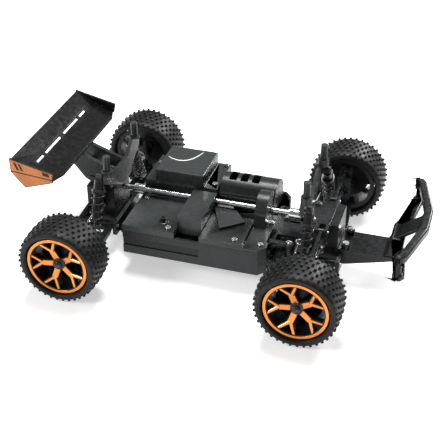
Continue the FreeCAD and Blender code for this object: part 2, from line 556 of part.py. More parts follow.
CRANK_LOW = "(plate_z + plate_thickness + 0.5)"
CRANK_THICK = "2.6"
for name, side in (("left", "1"), ("right", "-1")):
    y = "%s * crank_y" % side
    hub = round_bar("crank_hub_" + name, "Z", ("CRANK_X", y, CRANK_LOW), "crank_radius",
                    CRANK_THICK)
    eye = round_bar("crank_eye_" + name, "Z", ("CRANK_X - steering_arm", y, CRANK_LOW), "2.8",
                    CRANK_THICK)
    arm = box("crank_arm_" + name, ("CRANK_X - steering_arm", "CRANK_X"),
              ("%s - 2" % y, "%s + 2" % y), (CRANK_LOW, "%s + %s" % (CRANK_LOW, CRANK_THICK)))
    bores = [round_bar("crank_post_bore_" + name, "Z", ("CRANK_X", y, "plate_z"), "2.2", "8"),
             round_bar("crank_pin_bore_" + name, "Z", ("CRANK_X - steering_arm", y, "plate_z"),
                       "1.4", "8")]
    node("steering_crank_" + name, cut("crank_body_" + name,
                                       joined("crank_solid_" + name, hub, eye, arm), *bores))

# Tie rod: a steel rod with a moulded ball socket at each end, parallel to the lower arm.
tie_bar = round_bar("tie_bar", "Y", ("-steering_arm", "arm_pivot_y", "TIE_Z"), "rod_radius",
                    "sqrt(arm_reach ^ 2 + arm_drop ^ 2)")
bind(tie_bar, Placement__Rotation__Angle="-90 deg - atan(arm_drop / arm_reach)")
tie_bar.Placement.Rotation.Axis = FreeCAD.Vector(1, 0, 0)
tie_eyes, tie_bores = [], []
for name, y, z in (("in", "arm_pivot_y", "TIE_Z"), ("out", "HUB_Y", "axle_height")):
    tie_eyes.append(round_bar("tie_eye_" + name, "Z", ("-steering_arm", y, "%s - 1.5" % z),
                              "2.9", "3"))
    tie_bores.append(round_bar("tie_bore_" + name, "Z", ("-steering_arm", y, "%s - 3" % z),
                               "ball_radius + ball_gap", "6"))
four_corners("tie_rod", cut("tie_rod_body", joined("tie_rod_solid", tie_bar, *tie_eyes),
                            *tie_bores), ("fl", "fr"))

# ---------------------------------------------------------------- drive line
# Differential: ring gear on its case, with a slotted cup each side for the wheel shafts.
CUP_MOUTH = "(arm_pivot_y + 3.3)"
diff_parts = [
    toothed_wheel("diff_ring", 20, sheet.get("ring_radius") / 10, 4, 0),
    round_bar("diff_case", "X", ("-5", "0", "0"), "ring_radius - 2.5", "10"),
    round_bar("diff_neck", "X", ("-arm_pivot_y", "0", "0"), "3", "2 * arm_pivot_y"),
]
for name, side in (("low", -1), ("high", 1)):
    start = "%s" % ("-%s" % CUP_MOUTH if side < 0 else "gearbox_half + 0.6")
    diff_parts.append(round_bar("diff_cup_" + name, "X", (start, "0", "0"), "cup_radius",
                                "%s - gearbox_half - 0.6" % CUP_MOUTH))
diff_holes = []
for name, side in (("low", -1), ("high", 1)):
    start = "-%s - 1" % CUP_MOUTH if side < 0 else "arm_pivot_y - 5.2"
    diff_holes.append(round_bar("diff_bore_" + name, "X", (start, "0", "0"), "cup_bore",
                                "%s + 1 - arm_pivot_y + 5.2" % CUP_MOUTH))
    diff_holes.append(box("diff_slot_" + name, (start, "%s + %s + 1 - arm_pivot_y + 4.2"
                                                % (start, CUP_MOUTH)),
                          ("-cup_radius - 1", "cup_radius + 1"),
                          ("-slot_width / 2", "slot_width / 2")))
differential = cut("differential", joined("diff_solid", *diff_parts), *diff_holes)
diff_stand = group("diff_stand", differential)
diff_stand.Placement.Rotation = FreeCAD.Rotation(FreeCAD.Vector(0, 0, 1), 90)
bind(diff_stand, Placement__Base__z="DRIVE_Z")
node("front_differential", diff_stand, "AXLE")
node("rear_differential", diff_stand, "-AXLE", 180)

# Centre shaft with its spur gear, and the motor's pinion in mesh with it.
SHAFT_REAR = "(-AXLE + gearbox_length / 2 - 5)"
SHAFT_FRONT = "(AXLE - gearbox_length / 2 + 5)"
spur = toothed_wheel("spur", int(sheet.get("spur_teeth")), sheet.get("gear_module"),
                     sheet.get("gear_width"), 0)
spur_stand = group("spur_stand", spur)
bind(spur_stand, Placement__Base__x="gear_place - gear_width / 2",
     Placement__Base__z="shaft_height")
shaft_parts = [
    spur_stand,
    round_bar("shaft_bar", "X", (SHAFT_REAR, "0", "shaft_height"), "shaft_radius",
              "%s - %s" % (SHAFT_FRONT, SHAFT_REAR)),
    round_bar("shaft_cup_rear", "X", ("TUB_REAR - 6", "0", "shaft_height"), "shaft_cup_radius",
              "9"),
    round_bar("shaft_cup_front", "X", ("TUB_FRONT + 8", "0", "shaft_height"),
              "shaft_cup_radius", "9"),
]
node("centre_shaft", joined("centre_shaft_solid", *shaft_parts))

pinion = toothed_wheel("pinion", int(sheet.get("pinion_teeth")), sheet.get("gear_module"),
                       sheet.get("gear_width"), 0)
# half a tooth of turn brings a gap of the pinion opposite a tooth of the spur gear
mesh_angle = math.degrees(math.atan2(
    -sheet.get("motor_drop"), math.sqrt((sheet.get("gear_module")
                                         * (sheet.get("spur_teeth") + sheet.get("pinion_teeth"))
                                         / 2) ** 2 - sheet.get("motor_drop") ** 2)))
spur_phase = (mesh_angle * sheet.get("spur_teeth") / 360) % 1
pinion_turn = mesh_angle + 180 - (0.5 - spur_phase) * 360 / sheet.get("pinion_teeth")
pinion_stand = group("pinion_stand", pinion)
pinion_stand.Placement.Rotation = FreeCAD.Rotation(FreeCAD.Vector(1, 0, 0), pinion_turn)
bind(pinion_stand, Placement__Base__x="gear_place - gear_width / 2",
     Placement__Base__y="MOTOR_Y", Placement__Base__z="MOTOR_Z")
motor_shaft = round_bar("motor_shaft", "X", ("gear_place - gear_width / 2 - 13", "MOTOR_Y",
                                             "MOTOR_Z"), "1.2", "14 + gear_width")
node("motor_pinion", joined("motor_pinion_solid", pinion_stand, motor_shaft))

MOTOR_FRONT = "(gear_place - gear_width / 2 - 4)"
motor_can = round_bar("motor_can", "X", ("%s - motor_length" % MOTOR_FRONT, "MOTOR_Y",
                                         "MOTOR_Z"), "motor_radius", "motor_length")
motor_nose = round_bar("motor_nose", "X", (MOTOR_FRONT, "MOTOR_Y", "MOTOR_Z"), "3.5", "1")
motor_bore = round_bar("motor_bore", "X", ("%s - 11" % MOTOR_FRONT, "MOTOR_Y", "MOTOR_Z"),
                       "1.3", "14")
node("drive_motor", cut("motor_solid", joined("motor_outside", motor_can, motor_nose),
                        motor_bore))

# ---------------------------------------------------------------- chassis
# Tub: one moulding with a boxed middle, a narrow tongue to each axle and the hinge brackets.
TUB_LOW = "ground_clearance"
tub_block = slab("tub_block", "XY", [
    ("TUB_REAR", "-tub_half"), ("TUB_FRONT - 5", "-tub_half"), ("TUB_FRONT", "-tub_half + 6"),
    ("TUB_FRONT", "tub_half - 6"), ("TUB_FRONT - 5", "tub_half"), ("TUB_REAR", "tub_half")],
    TUB_LOW, "tub_top")
tub_hollow = slab("tub_hollow", "XY", [
    ("TUB_REAR + wall_thickness", "-tub_half + wall_thickness"),
    ("TUB_FRONT - 6", "-tub_half + wall_thickness"),
    ("TUB_FRONT - wall_thickness", "-tub_half + 7"),
    ("TUB_FRONT - wall_thickness", "tub_half - 7"),
    ("TUB_FRONT - 6", "tub_half - wall_thickness"),
    ("TUB_REAR + wall_thickness", "tub_half - wall_thickness")], "FLOOR_TOP", "tub_top + 1")
tub_tongue = slab("tub_tongue", "XY", [
    ("-AXLE - gearbox_length / 2 - 4", "-gearbox_half"), ("-AXLE + gearbox_length / 2 + 4",
                                                          "-gearbox_half - 3"),
    ("TUB_REAR + 1", "-tub_half + 12"), ("TUB_FRONT - 1", "-tub_half + 10"),
    ("AXLE - gearbox_length / 2 - 4", "-arm_pivot_y - 4"),
    ("AXLE - gearbox_length / 2 - 4", "-gearbox_half"),
    ("AXLE + gearbox_length / 2 + 4", "-nose_half"),
    ("AXLE + gearbox_length / 2 + 4", "nose_half"),
    ("AXLE - gearbox_length / 2 - 4", "gearbox_half"),
    ("AXLE - gearbox_length / 2 - 4", "arm_pivot_y + 4"), ("TUB_FRONT - 1", "tub_half - 10"),
    ("TUB_REAR + 1", "tub_half - 12"), ("-AXLE + gearbox_length / 2 + 4", "gearbox_half + 3"),
    ("-AXLE - gearbox_length / 2 - 4", "gearbox_half")], TUB_LOW, "FLOOR_TOP")
link_slot = box("link_slot", ("TUB_FRONT - 12", "TUB_FRONT + 3"), ("-crank_y - 11", "crank_y + 11"),
                ("plate_z - 1.5", "tub_top + 1"))
crank_post = round_bar("crank_post", "Z", ("CRANK_X", "-crank_y", "FLOOR_TOP - 0.5"), "3",
                       "plate_z + plate_thickness - FLOOR_TOP + 0.3")
crank_spigot = round_bar("crank_spigot", "Z", ("CRANK_X", "-crank_y", "plate_z"), "2",
                         "plate_thickness + 3.3")
side_recess = box("side_recess", ("TUB_REAR - 1", "STRAP_FRONT"),
                  ("-tub_half - 1", "-tub_half + 0.8"), ("21", "28"))
shaft_notch = round_bar("shaft_notch", "X", ("TUB_REAR - 10", "0", "shaft_height"),
                        "shaft_cup_radius + 1", "wheelbase")
BRACKET = "(arm_width / 2 + side_gap)"
brackets = []
for end, x in (("front", "AXLE"), ("rear", "-AXLE")):
    for where, low, high in (("a", "%s - %s - 3.2" % (x, BRACKET), "%s - %s" % (x, BRACKET)),
                             ("b", "%s + %s" % (x, BRACKET), "%s + %s + 3.2" % (x, BRACKET))):
        brackets.append(box("bracket_%s_%s" % (end, where), (low, high),
                            ("-arm_pivot_y - 3", "arm_pivot_y + 3"),
                            (TUB_LOW, "BRACKET_TOP")))
hinge_bores = []
for end, x in (("front", "AXLE"), ("rear", "-AXLE")):
    for side, y in (("left", "arm_pivot_y"), ("right", "-arm_pivot_y")):
        hinge_bores.append(round_bar("hinge_bore_%s_%s" % (end, side), "X",
                                     ("%s - arm_width" % x, y, "arm_pivot_z"),
                                     "pin_radius + 0.02", "2 * arm_width"))
tub_solid = joined("tub_solid", tub_block, tub_tongue)
tub_open = cut("tub_open", tub_solid, tub_hollow, link_slot, side_recess, shaft_notch)
tub = cut("tub", joined("tub_dressed", tub_open, crank_post, crank_spigot, *brackets),
          *hinge_bores)
node("chassis_tub", tub)

# Gearbox housings: hollow cases round the differentials, with ears for the upper links.
INNER_LOW = "FLOOR_TOP + 2"
for end, x, sign in (("front", "AXLE", "1"), ("rear", "-AXLE", "-1")):
    half = "gearbox_length / 2"
    case = box("gear_case_" + end, ("%s - %s" % (x, half), "%s + %s" % (x, half)),
               ("-gearbox_half", "gearbox_half"), ("FLOOR_TOP", "gearbox_top"))
    ears = box("gear_ears_" + end, ("%s - link_width / 2 - 2.6" % x,
                                    "%s + link_width / 2 + 2.6" % x),
               ("-arm_pivot_y - 3", "arm_pivot_y + 3"), ("LINK_Z - 4.6", "EAR_TOP"))
    hollow = box("gear_hollow_" + end, ("%s - %s + 1.8" % (x, half), "%s + %s - 1.8" % (x, half)),
                 ("-gearbox_half + 1.8", "gearbox_half - 1.8"), (INNER_LOW, "gearbox_top - 1.8"))
    neck = round_bar("gear_neck_" + end, "Y", (x, "-gearbox_half - 2", "DRIVE_Z"), "3.1",
                     "2 * gearbox_half + 4")
    entry = round_bar("gear_entry_" + end, "X", ("%s - %s * %s - 4" % (x, sign, half), "0",
                                                 "shaft_height"), "shaft_radius + 0.1", "8")
    ear_space = [box("ear_space_%s_%s" % (end, side),
                     ("%s - link_width / 2 - side_gap" % x, "%s + link_width / 2 + side_gap" % x),
                     (low, high), ("LINK_Z - 5", "LINK_Z + 8"))
                 for side, low, high in (("left", "gearbox_half + 1", "arm_pivot_y + 9"),
                                         ("right", "-arm_pivot_y - 9", "-gearbox_half - 1"))]
    ear_bores = [round_bar("ear_bore_%s_%s" % (end, side), "X",
                           ("%s - 8" % x, y, "LINK_Z"), "pin_radius + 0.02", "16")
                 for side, y in (("left", "arm_pivot_y"), ("right", "-arm_pivot_y"))]
    node("gearbox_" + end, cut("gearbox_solid_" + end, joined("gearbox_outside_" + end, case, ears),
                               hollow, neck, entry, *(ear_space + ear_bores)))

# Shock towers: a plate against each gearbox with a shock stud and a body post at each corner.
STUD = "(tower_back - shock_offset + 2.6)"
for end, x, sign, post_x, post_top in (
        ("front", "AXLE", 1, "AXLE - front_post_gap", "front_post_top"),
        ("rear", "-AXLE", -1, "-AXLE + rear_post_gap", "rear_post_top")):
    back = "%s - %d * tower_back" % (x, sign)
    half_outline = [("gearbox_half - 2", "shaft_height + 5"), ("gearbox_half + 2", "LINK_Z + 8"),
                    ("shock_top_y + 3", "shock_top_z - 3.5"),
                    ("shock_top_y + 3", "shock_top_z + 3"), ("post_y + 1", "tower_top"),
                    ("post_y - 8", "tower_top"), ("9", "tower_top - 8")]
    outline = half_outline + [("-(%s)" % y, z) for y, z in reversed(half_outline)]
    plate = slab("tower_plate_" + end, "YZ", outline,
                 "%s - tower_thickness / 2" % back, "%s + tower_thickness / 2" % back)
    parts = [plate]
    for side, y in (("left", 1), ("right", -1)):
        stud_start = back if sign > 0 else "%s - %s" % (back, STUD)
        parts.append(round_bar("tower_stud_%s_%s" % (end, side), "X",
                               (stud_start, "%d * shock_top_y" % y, "shock_top_z"),
                               "pin_radius", STUD))
        centre = (post_x, "%d * post_y" % y)
        parts.append(round_bar("tower_post_%s_%s" % (end, side), "Z",
                               centre + ("tower_top - 1",), "post_radius",
                               "%s - tower_top + 1" % post_top))
        parts.append(round_bar("tower_collar_%s_%s" % (end, side), "Z",
                               centre + ("tower_top - 1",), "collar_radius",
                               "%s - collar_drop - tower_top + 1" % post_top))
    shaft_gap = round_bar("tower_gap_" + end, "X", ("%s - 5" % back, "0", "shaft_height"),
                          "shaft_cup_radius + 1.2", "10")
    if sign < 0:
        # the rear tower also carries the two stays that hold the wing
        for side, y in (("left", 9), ("right", -9)):
            parts.append(slab("wing_stay_" + side, "XZ", [
                (back, "tower_top - 18"), (back, "tower_top - 11"),
                ("-AXLE - 22", "wing_top - 15.1"), ("-AXLE - 32", "wing_top - 11.6"),
                ("-AXLE - 30", "wing_top - 18"), ("-AXLE - 14", "EAR_TOP + 3"),
                ("-AXLE - 9", "EAR_TOP + 0.2"), ("-AXLE + 6", "EAR_TOP + 0.2"),
                ("-AXLE + 6", "EAR_TOP + 3.5"), ("-AXLE - 6", "EAR_TOP + 4.5"),
                ("-AXLE - 12", "tower_top - 18")], "%d - 1.6" % y, "%d + 1.6" % y))
        parts.append(box("stay_bridge", ("-AXLE - 16", "-AXLE - 13"), ("-10", "10"),
                         ("gearbox_top + 8", "gearbox_top + 13")))
    else:
        parts.append(box("front_brace", ("%s - 2.5" % back, back), ("-22", "22"),
                         ("LINK_Z + 9", "LINK_Z + 14")))
    node("shock_tower_" + end, cut("tower_" + end, joined("tower_solid_" + end, *parts),
                                   shaft_gap))

# ---------------------------------------------------------------- what the tub holds
node("battery_pack", box("battery_block", ("TUB_REAR + wall_thickness + 3", "STRAP_FRONT - 6"),
                         ("-tub_half + wall_thickness + 2", "-5"), ("FLOOR_TOP", "tub_top - 2")))
servo_case = box("servo_case", ("CRANK_X - 9", "CRANK_X + 5.8"), ("crank_y - 7", "crank_y + 3.5"),
                 ("FLOOR_TOP", "plate_z - 1"))
servo_spline = round_bar("servo_spline", "Z", ("CRANK_X", "crank_y", "FLOOR_TOP"), "2",
                         "plate_z + plate_thickness + 3.3 - FLOOR_TOP")
node("steering_servo", joined("servo", servo_case, servo_spline))

# Covers. Each is a thin lid with a skirt, resting on the tub's rim.
RIM = "tub_top"


def lid(name, outline, inner, top, bottom=RIM):
    """A lid: its outline padded down from the top, hollowed from below to an even wall."""
    outside = slab(name + "_outside", "XY", outline, bottom, top)
    inside = slab(name + "_inside", "XY", inner, "%s - 1" % bottom, "%s - lid_thickness" % top)
    return cut(name + "_shell", outside, inside)


def rectangle(x0, x1, y0, y1, inset="0"):
    return [("%s + %s" % (x0, inset), "%s + %s" % (y0, inset)),
            ("%s - %s" % (x1, inset), "%s + %s" % (y0, inset)),
            ("%s - %s" % (x1, inset), "%s - %s" % (y1, inset)),
            ("%s + %s" % (x0, inset), "%s - %s" % (y1, inset))]


flat = ("TUB_REAR", "STRAP_REAR", "-tub_half", "battery_far")
battery_lid = lid("battery_lid", rectangle(*flat), rectangle(*flat, inset="lid_thickness"),
                  "battery_top")
strap = ("STRAP_REAR", "STRAP_FRONT", "-tub_half + 8", "battery_far + 1")
strap_lid = lid("strap_lid", rectangle(*strap), rectangle(*strap, inset="lid_thickness"),
                "strap_top")
shaft_channel = round_bar("shaft_channel", "X", ("TUB_REAR", "0", "shaft_height"),
                          "shaft_radius + 0.9", "wheelbase")
node("battery_cover", cut("battery_cover_solid", joined("battery_cover_outside", battery_lid,
                                                        strap_lid), shaft_channel))

board = [("STRAP_FRONT + 0.3", "-tub_half"), ("TUB_FRONT - 5", "-tub_half"),
         ("TUB_FRONT", "-tub_half + 6"), ("TUB_FRONT", "-tub_half + 12"),
         ("TUB_FRONT - 2", "-tub_half + 14"), ("TUB_FRONT - 2", "5.5"), ("STRAP_FRONT + 0.3", "5.5")]
board_in = [("STRAP_FRONT + 1.8", "-tub_half + 1.5"), ("TUB_FRONT - 6", "-tub_half + 1.5"),
            ("TUB_FRONT - 1.5", "-tub_half + 7"), ("TUB_FRONT - 1.5", "-tub_half + 11"),
            ("TUB_FRONT - 3.5", "-tub_half + 13"), ("TUB_FRONT - 3.5", "4"),
            ("STRAP_FRONT + 1.8", "4")]
board_lid = lid("board_lid", board, board_in, "board_step")
raised = ("STRAP_FRONT + 0.3", "gear_place - gear_width / 2 - 3", "-tub_half", "-8")
raised_lid = lid("raised_lid", rectangle(*raised), rectangle(*raised, inset="lid_thickness"),
                 "board_top")
badge_plate = slab("badge_plate", "XY", [
    ("STRAP_FRONT + 0.7", "-4.5"), ("STRAP_FRONT + 12", "-30"), ("STRAP_FRONT + 28.3", "-16.6"),
    ("STRAP_FRONT + 13", "3"), ("STRAP_FRONT + 1", "5")], "board_step - 1", "board_top + 2.2")
spur_slot = box("spur_slot", ("gear_place - gear_width / 2 - 1", "gear_place + gear_width / 2 + 1"),
                ("-gear_module * spur_teeth / 2 - 2", "battery_far + 4"), ("tub_top - 5", "cover_top"))
node("electronics_cover", cut("electronics_solid",
                              joined("electronics_outside", board_lid, raised_lid, badge_plate),
                              shaft_notch, link_slot, spur_slot))

cover_low = ("TUB_REAR", "STRAP_FRONT - 1", "6.5", "cover_far")
cover_high = ("TUB_REAR + 9", "STRAP_REAR + 7", "6.5", "cover_far - 1.2")
cover_flat_lid = lid("cover_flange", rectangle(*cover_low),
                     rectangle(*cover_low, inset="lid_thickness"), "cover_flange")
cover_high_lid = lid("cover_raised", rectangle(*cover_high),
                     rectangle(*cover_high, inset="lid_thickness"), "cover_top")
node("main_cover", joined("main_cover_solid", cover_flat_lid, cover_high_lid))

# Motor cover: a half barrel over the motor with vents, and an arch over the spur gear.
MC_REAR = "(STRAP_FRONT + 0.5)"
MC_FRONT = "(gear_place + 5)"
barrel = round_bar("motor_barrel", "X", (MC_REAR, "motor_cover_y", "MOTOR_Z"),
                   "motor_cover_radius", "%s - %s" % (MC_FRONT, MC_REAR))
barrel_in = round_bar("motor_barrel_in", "X", ("%s + 1.5" % MC_REAR, "motor_cover_y", "MOTOR_Z"),
                      "motor_cover_radius - 1.5", "%s - %s - 3" % (MC_FRONT, MC_REAR))
skirt = box("motor_skirt", (MC_REAR, MC_FRONT), ("motor_cover_y - motor_cover_radius",
                                                 "motor_cover_y + motor_cover_radius"),
            (RIM, "MOTOR_Z"))
skirt_in = box("motor_skirt_in", ("%s + 1.5" % MC_REAR, "%s - 1.5" % MC_FRONT),
               ("motor_cover_y - motor_cover_radius + 1.5",
                "motor_cover_y + motor_cover_radius - 1.5"), ("%s - 1" % RIM, "MOTOR_Z"))
SPUR_CLEAR = "(gear_module * spur_teeth / 2 + 1.6)"
arch = round_bar("gear_arch", "X", ("gear_place - gear_width / 2 - 2", "0", "shaft_height"),
                 "%s + 1.5" % SPUR_CLEAR, "gear_width + 4")
arch_skirt = box("gear_arch_skirt", ("gear_place - gear_width / 2 - 2",
                                     "gear_place + gear_width / 2 + 2"),
                 ("-%s - 1.5" % SPUR_CLEAR, "motor_cover_y"), ("board_step + 0.1", "shaft_height"))
arch_in = round_bar("gear_arch_in", "X", ("gear_place - gear_width / 2 - 0.5", "0",
                                          "shaft_height"), SPUR_CLEAR, "gear_width + 1")
arch_skirt_in = box("gear_arch_skirt_in", ("gear_place - gear_width / 2 - 0.5",
                                           "gear_place + gear_width / 2 + 0.5"),
                    ("-%s" % SPUR_CLEAR, "motor_cover_y"), ("tub_top - 6", "shaft_height"))
below = box("motor_below", ("-wheelbase", "wheelbase"), ("-wheelbase", "wheelbase"),
            ("0", RIM))
arch_below = box("arch_below", ("-wheelbase", "wheelbase"),
                 ("-wheelbase", "motor_cover_y - motor_cover_radius - 0.4"),
                 ("0", "board_step + 0.1"))
shaft_way = round_bar("shaft_way", "X", ("STRAP_FRONT", "0", "shaft_height"),
                      "shaft_radius + 1", "wheelbase")
vents = [box("vent_%d" % k, ("%s + %d" % (MC_REAR, 5 + 9 * k), "%s + %d" % (MC_REAR, 11 + 9 * k)),
             ("motor_cover_y - 6", "motor_cover_y + 7"),
             ("MOTOR_Z + motor_cover_radius - 4", "cover_top")) for k in range(3)]
node("motor_cover", cut("motor_cover_solid", joined("motor_cover_outside", barrel, skirt, arch,
                                                    arch_skirt),
                        barrel_in, skirt_in, arch_in, arch_skirt_in, below, arch_below, shaft_way,
                        *vents))

# ---------------------------------------------------------------- wing and bumper
wing_points = [("-AXLE - 13.5", "wing_top - 15.5"), ("-AXLE - 20", "wing_top - 15.5"),
               ("-AXLE - 33", "wing_top - 11"), ("TAIL + 1.2", "wing_top - 1.7")]
upper = [(x, "%s + wing_skin" % z) for x, z in reversed(wing_points)]
wing_skin_slab = slab("wing_skin_slab", "XZ", wing_points + upper, "-wing_half + 0.5",
                      "wing_half - 0.5")
wing_plan = slab("wing_plan", "XY", [
    ("TAIL", "-wing_half"), ("-AXLE - 18", "-wing_half"), ("-AXLE - 13.5", "-wing_half + 13"),
    ("-AXLE - 13.5", "wing_half - 13"), ("-AXLE - 18", "wing_half"), ("TAIL", "wing_half")],
    "0", "wing_top + 9")
wing_slots = [box("wing_slot_%d" % k, ("-AXLE - 36.5", "-AXLE - 34.3"), span,
                  ("wing_low", "wing_top + 5"))
              for k, span in enumerate((("-45", "-33.5"), ("-30.5", "-4"), ("1", "27.5"),
                                        ("30.5", "42")))]
wing_blade = cut("wing_blade", common("wing_trimmed", wing_skin_slab, wing_plan), *wing_slots)
end_outline = [("TAIL", "wing_top"), ("TAIL", "wing_top - 11"), ("-AXLE - 39.5", "wing_low"),
               ("-AXLE - 16.8", "wing_low + 7.6"), ("-AXLE - 15.4", "wing_low + 15")]
ends = [slab("wing_end_left", "XZ", end_outline, "wing_half - wing_skin", "wing_half"),
        slab("wing_end_right", "XZ", end_outline, "-wing_half", "-wing_half + wing_skin")]
node("rear_wing", joined("wing_solid", wing_blade, *ends))

BAR_Z = "(bumper_top - bumper_bar)"
half_bar = [("NOSE", "13"), ("NOSE - 10", "bumper_half - 4"), ("NOSE - 13", "bumper_half"),
            ("NOSE - 18", "bumper_half - 2"), ("NOSE - 15", "bumper_half - 8"),
            ("NOSE - 6.5", "12")]
top_bar = slab("bumper_top_bar", "XY",
               half_bar + [(x, "-(%s)" % y) for x, y in reversed(half_bar)],
               BAR_Z, "bumper_top")
half_low = [("NOSE - 19", "14"), ("NOSE - 14", "20"), ("NOSE - 10", "bumper_half - 4"),
            ("NOSE - 13", "bumper_half"), ("NOSE - 18", "bumper_half - 2"), ("NOSE - 20", "22"),
            ("NOSE - 25", "16")]
low_bar = slab("bumper_low_bar", "XY",
               half_low + [(x, "-(%s)" % y) for x, y in reversed(half_low)],
               "bumper_low", "bumper_low + bumper_bar - 1.5")
pillars = [box("bumper_pillar_" + side, ("NOSE - 17", "NOSE - 12.5"), (low, high),
               ("bumper_low + 1", "bumper_top - 1"))
           for side, low, high in (("left", "bumper_half - 5", "bumper_half - 1"),
                                   ("right", "-bumper_half + 1", "-bumper_half + 5"))]
brace = slab("bumper_brace", "XZ", [
    ("NOSE - 24", "bumper_low + 1"), ("NOSE - 4", "bumper_top - bumper_bar + 1"),
    ("NOSE - 4", "bumper_top - 1.5"), ("NOSE - 24", "bumper_low + bumper_bar - 1.5")], "-9", "9")
stem = slab("bumper_stem", "XZ", [
    ("NOSE - 31", "nose_plate_z"), ("NOSE - 21", "nose_plate_z"), ("NOSE - 16", "bumper_low"),
    ("NOSE - 17", "bumper_low + 4.5"), ("NOSE - 27", "bumper_low + 4.5"),
    ("NOSE - 28", "nose_plate_z + 4")], "-nose_half", "nose_half")
node("bumper", joined("bumper_solid", top_bar, low_bar, stem, brace, *pillars))

# Nose plate: the moulding between the front gearbox and the bumper, kicked up at the front.
plate_start = "AXLE + gearbox_length / 2 + 0.3"
plate_low = "AXLE + %s + 3.4" % BRACKET
nose_side = slab("nose_side", "XZ", [
    (plate_low, "FLOOR_TOP - 2"), ("NOSE - 40", "FLOOR_TOP + 3"),
    ("NOSE - 22", "nose_plate_z - 3"), ("NOSE - 22", "nose_plate_z"),
    (plate_start, "nose_plate_z"), (plate_start, "BRACKET_TOP + 0.2"),
    (plate_low, "BRACKET_TOP + 0.2")], "-nose_half", "nose_half")
bosses = [round_bar("nose_boss_" + side, "Z", ("AXLE + gearbox_length / 2 + 5.5", y,
                                               "nose_plate_z - 1"), "3.2", "4.5")
          for side, y in (("left", "9.6"), ("right", "-9.6"))]
node("nose_plate", joined("nose_solid", nose_side, *bosses))

# ---------------------------------------------------------------- screws and hinge pins
heads = [("STRAP_REAR - 6", "-tub_half + 5", "battery_top"), ("TUB_REAR + 5", "-4", "battery_top"),
         ("TUB_FRONT - 24", "-tub_half + 5", "board_top"), ("TUB_FRONT - 4.4", "-6", "board_step"),
         ("TUB_FRONT - 5", "-tub_half + 8", "board_step"),
         ("TUB_REAR + 4", "cover_far - 14", "cover_flange"),
         ("STRAP_FRONT - 4.5", "13.5", "cover_flange"),
         ("STRAP_FRONT - 4.5", "cover_far - 3.5", "cover_flange"),
         ("AXLE + gearbox_length / 2 + 5.5", "9.6", "nose_plate_z + 3.5"),
         ("AXLE + gearbox_length / 2 + 5.5", "-9.6", "nose_plate_z + 3.5"),
         ("CRANK_X", "-crank_y", "plate_z + plate_thickness + 3.3"),
         ("CRANK_X", "crank_y", "plate_z + plate_thickness + 3.3"),
         ("AXLE - 8.5", "-11", "gearbox_top"), ("AXLE - 8.5", "11", "gearbox_top"),
         ("-AXLE + 8.5", "-11", "gearbox_top"), ("-AXLE + 8.5", "11", "gearbox_top")]
screws = []
for k, (x, y, z) in enumerate(heads):
    blank = round_bar("screw_head_%d" % k, "Z", (x, y, z), "screw_head", "1")
    crown = round_bar("screw_crown_%d" % k, "Z", (x, y, "%s + 1" % z), "screw_head - 0.6", "0.5")
    cross = box("screw_cross_%d" % k, ("%s - 1.2" % x, "%s + 1.2" % x), ("%s - 0.25" % y,
                                                                        "%s + 0.25" % y),
                ("%s + 0.9" % z, "%s + 2" % z))
    screws.append(cut("screw_%d" % k, joined("screw_solid_%d" % k, blank, crown), cross))
pins = []
for end, x in (("front", "AXLE"), ("rear", "-AXLE")):
    for side, y in (("left", "arm_pivot_y"), ("right", "-arm_pivot_y")):
        pins.append(round_bar("hinge_pin_%s_%s" % (end, side), "X",
                              ("%s - %s - 4" % (x, BRACKET), y, "arm_pivot_z"), "pin_radius",
                              "2 * %s + 8" % BRACKET))
        pins.append(round_bar("link_hinge_%s_%s" % (end, side), "X",
                              ("%s - 5.6" % x, y, "LINK_Z"), "pin_radius", "11.2"))
node("screws_and_pins", group("hardware", *(screws + pins)))

# ---------------------------------------------------------------- build and write
doc.recompute()
for item in doc.Objects:
    if "Invalid" in item.State or "Error" in item.State:
        raise RuntimeError("%s did not build: %s" % (item.Name, item.State))
os.makedirs("parts", exist_ok=True)
for holder in NODES:
    shape = holder.Shape
    if shape.isNull() or not shape.isValid() or not shape.Solids:
        raise RuntimeError("%s has no valid solid" % holder.Label)
    shape.exportStep("parts/%s.step" % holder.Label)
    print(holder.Label, len(shape.Solids), round(shape.Volume, 1))
print(len(NODES), "nodes")
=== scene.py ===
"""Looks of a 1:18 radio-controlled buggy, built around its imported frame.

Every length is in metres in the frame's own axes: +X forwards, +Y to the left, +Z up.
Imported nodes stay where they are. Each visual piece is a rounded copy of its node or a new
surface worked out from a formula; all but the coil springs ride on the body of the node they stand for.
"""

import json
import math

import bmesh
import bpy
import numpy as np
from mathutils import Matrix

